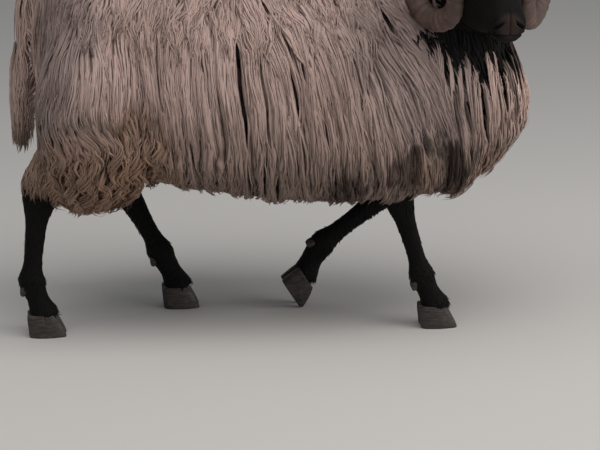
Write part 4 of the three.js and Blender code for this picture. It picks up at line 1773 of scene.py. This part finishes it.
# a lock's own tone with its painted shade and light, its root darkened as painted shade, and its hairs make
# the wool lighter or darker
light = n.math("ADD", n.math("MULTIPLY", given["Tone"], 0.14), 1.0)
light = n.math("MULTIPLY", light, n.ramp(given["Along"], 0.0, 0.35, 0.82, 1.0))
light = n.math("MULTIPLY", light, n.ramp(given["Hairs"], 0.36, 0.64, 0.90, 1.05))
shade = n.add("ShaderNodeCombineColor")
for socket in shade.inputs:
    n.feed(socket, light)
wool = n.mix(1.0, cream, shade.outputs[0], "MULTIPLY")
black = n.mix(n.ramp(given["Hairs"], 0.3, 0.8), BLACK, WORN_BLACK)
n.feed(gives["Color"], n.mix(marks["Dark"], wool, black))


def coat_material(name, fineness, roughness, depth, gloss):
    """Wool or hair: fineness says how many hairs run side by side in a strand."""
    mat, n, shader = material(name)
    strand = n.group(strand_tree, Fineness=fineness).outputs
    root = n.add("ShaderNodeAttribute", attribute_name="root").outputs["Vector"]
    here = n.add("ShaderNodeTexCoord").outputs["Object"]
    hairs = strand["Hairs"]
    colour = n.group(
        coat_tree, Place=root, Here=here, Along=strand["Along"], Tone=strand["Tone"], Hairs=hairs
    )
    n.feed(shader["Base Color"], colour.outputs["Color"])
    shader["Roughness"].default_value = roughness
    shader["Specular IOR Level"].default_value = gloss
    n.feed(shader["Normal"], bump(n, hairs, 0.8, depth))
    return mat


WOOL = coat_material("long_wool", 13.0, 0.85, 0.0007, 0.2)
HAIR = coat_material("black_hair", 7.0, 0.66, 0.0006, 0.16)
print("coat", WOOL.name, HAIR.name)

# %% [markdown]
# The skin wears the same markings, with flat hair as bump: short streaks that run down the body. The
# tip of the nose is bare, a little paler and moist.

# %% Skin
SKIN, n, shader = material("skin_and_flat_hair")
here = n.add("ShaderNodeTexCoord").outputs["Object"]
stretch = n.vector("MULTIPLY", here, (700, 700, 150))
streaks = n.noise(stretch, 1.0, 2.0, 0.6)
colour = n.group(coat_tree, Place=here, Here=here, Along=0.5, Tone=0.0, Hairs=streaks)
nose = n.vector("LENGTH", n.vector("SUBTRACT", here, tuple(from_head([180, 0, -14]))))
wet = n.ramp(nose, 0.026, 0.012)
pad = n.mix(wet, colour.outputs["Color"], (0.034, 0.022, 0.020, 1))
n.feed(shader["Base Color"], pad)
n.feed(shader["Roughness"], n.ramp(nose, 0.026, 0.012, 0.72, 0.42))
shader["Specular IOR Level"].default_value = 0.10
n.feed(shader["Normal"], bump(n, streaks, 0.5, 0.0008))
print("skin", SKIN.name)

# %% [markdown]
# Horn is brown with paler patches, darker in its grooves, and finely pitted. The claws are darker,
# banded in level rings as they grow, and scuffed pale here and there.

# %% Horn and claws
HORN, n, shader = material("ridged_horn")
here = n.add("ShaderNodeTexCoord").outputs["Object"]
mottle = n.noise(here, 38.0, 4.0, 0.6)
fine = n.noise(here, 420.0, 3.0, 0.6)
tone = n.mix(n.ramp(mottle, 0.35, 0.68), (0.078, 0.043, 0.035, 1), (0.190, 0.112, 0.088, 1))
groove = n.add("ShaderNodeNewGeometry").outputs["Pointiness"]
tone = n.mix(n.ramp(groove, 0.47, 0.53), (0.05, 0.035, 0.03, 1), tone)
tone = n.mix(n.ramp(fine, 0.35, 0.7, 0.0, 0.5), tone, (0.07, 0.047, 0.038, 1))
n.feed(shader["Base Color"], tone)
n.feed(shader["Roughness"], n.ramp(mottle, 0.3, 0.7, 0.5, 0.7))
n.feed(shader["Normal"], bump(n, fine, 0.5, 0.0008))

CLAW, n, shader = material("claw_horn")
here = n.add("ShaderNodeTexCoord").outputs["Object"]
bands = n.noise(n.vector("MULTIPLY", here, (60, 60, 420)), 1.0, 3.0)
worn = n.noise(here, 90.0, 3.0)
tone = n.mix(n.ramp(bands, 0.35, 0.7), (0.018, 0.014, 0.012, 1), (0.055, 0.042, 0.034, 1))
tone = n.mix(n.ramp(worn, 0.55, 0.75, 0.0, 0.6), tone, (0.10, 0.08, 0.065, 1))
n.feed(shader["Base Color"], tone)
n.feed(shader["Roughness"], n.ramp(worn, 0.3, 0.7, 0.42, 0.66))
n.feed(shader["Normal"], bump(n, bands, 0.5, 0.0008))
print("horn and claws", HORN.name, CLAW.name)

# %% [markdown]
# A sheep's eye has an amber iris with fine rays and a level oblong pupil. Both are worked out in
# millimetres from the point where the eye looks, and a clear coat makes it moist.


# %% Eyes' material
def eye_material(side):
    """Amber iris and a level oblong pupil, round the way the eye looks."""
    mat, n, shader = material("eye_" + ("left" if side > 0 else "right"))
    here = n.add("ShaderNodeTexCoord").outputs["Object"]
    gaze = unit(unit(gaze_of(side)) @ HEAD_AXES)
    level = unit(np.cross(gaze, UP))
    over = np.cross(level, gaze)
    r = n.vector("SUBTRACT", here, tuple(from_head(EYE * [1, side, 1])))
    x = n.math("MULTIPLY", n.vector("DOT_PRODUCT", r, tuple(level)), 1000)
    z = n.math("MULTIPLY", n.vector("DOT_PRODUCT", r, tuple(over)), 1000)
    facing = n.vector("DOT_PRODUCT", r, tuple(gaze))
    round_ = n.math("SQRT", n.math("ADD", n.math("MULTIPLY", x, x), n.math("MULTIPLY", z, z)))
    rays = n.noise(n.vector("SCALE", r, 500.0), 1.0, 3.0)
    amber = n.mix(n.ramp(rays, 0.35, 0.7), (0.20, 0.10, 0.025, 1), (0.42, 0.25, 0.07, 1))
    iris = n.mix(n.ramp(round_, 8.4, 10.2), amber, (0.03, 0.02, 0.015, 1))
    long = n.math("POWER", n.math("DIVIDE", n.math("ABSOLUTE", x), 5.2), 4.0)
    short = n.math("POWER", n.math("DIVIDE", n.math("ABSOLUTE", z), 2.1), 4.0)
    pupil = n.ramp(n.math("ADD", long, short), 1.25, 0.8)
    iris = n.mix(pupil, iris, (0.003, 0.003, 0.004, 1))
    rim = n.mix(n.ramp(round_, 10.6, 11.6), iris, (0.06, 0.035, 0.028, 1))
    n.feed(shader["Base Color"], n.mix(n.ramp(facing, 0.0, 0.003), (0.06, 0.035, 0.028, 1), rim))
    shader["Roughness"].default_value = 0.08
    shader["Coat Weight"].default_value = 0.6
    shader["Coat Roughness"].default_value = 0.03
    return mat


# %% [markdown]
# ## Dressing the frame
# Every piece gets its material and rides on the body. The skin stands for all the flesh.

# %% Dress
flesh = ["trunk", "neck", "head", "tail"]
flesh += [f"{part}_{side}" for part in ("ear", "thigh", "leg_fore", "leg_hind") for side in ("left", "right")]


def dress(piece, mat, slot, *nodes):
    """Gives a piece its material and its place in the frame, instead of some of the solids."""
    piece.data.materials.clear()
    piece.data.materials.append(mat)
    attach(piece, "root")
    if nodes:
        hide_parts(*nodes)


dress(skin, SKIN, "black_hair", *flesh)
for piece in fleece + [tail_wool, haunch_wool, spine_wool]:
    dress(piece, WOOL, "white_wool")
dress(hair, HAIR, "black_hair")
for piece, side in zip(horns, ("right", "left")):
    dress(piece, HORN, "horn", "horn_" + side)
for piece, side in zip(eyes, (-1, 1)):
    dress(piece, eye_material(side), "eye", "eye_" + ("left" if side > 0 else "right"))
for piece in claws:
    dress(piece, CLAW, "claw", piece.name.replace("_look", ""))
dress(dew_claws, CLAW, "claw")
bpy.data.objects.remove(envelope)
print("the skin stands for", len(flesh), "solids")

# %% [markdown]
# ## Floor and light
# A pale floor, a broad soft light overhead, and a lower one ahead of the ram that lights its chest.

# %% Stage
bpy.ops.object.select_all(action="DESELECT")
bpy.ops.mesh.primitive_plane_add(size=60)
floor = bpy.context.object
floor.name = "floor"
mat, n, shader = material("pale_floor")
shader["Base Color"].default_value = (0.62, 0.61, 0.59, 1)
shader["Roughness"].default_value = 0.9
floor.data.materials.append(mat)


def lamp(name, place, aim, size, power):
    """A soft oval light, twice as wide as it is high."""
    light = bpy.data.lights.new(name, "AREA")
    light.shape = "ELLIPSE"
    light.size = size * 2
    light.size_y = size
    light.energy = power
    light.color = (1.0, 0.965, 0.93)
    lit = bpy.data.objects.new(name, light)
    bpy.context.scene.collection.objects.link(lit)
    lit.location = place
    lit.rotation_euler = (Vector(place) - Vector(aim)).to_track_quat("Z", "Y").to_euler()


lamp("overhead", (0.3, -1.3, 3.6), (0, 0, 0.4), 3.0, 98)
lamp("low", (3.9, -1.5, 1.7), (0.3, 0, 0.4), 2.2, 72)
world = bpy.data.worlds.new("room")
bpy.context.scene.world = world
world.use_nodes = True
world.node_tree.nodes["Background"].inputs["Color"].default_value = (0.93, 0.96, 1.0, 1)
world.node_tree.nodes["Background"].inputs["Strength"].default_value = 0.24
bpy.context.scene.view_settings.view_transform = "Standard"
print("lights", [lit.name for lit in bpy.data.lights])
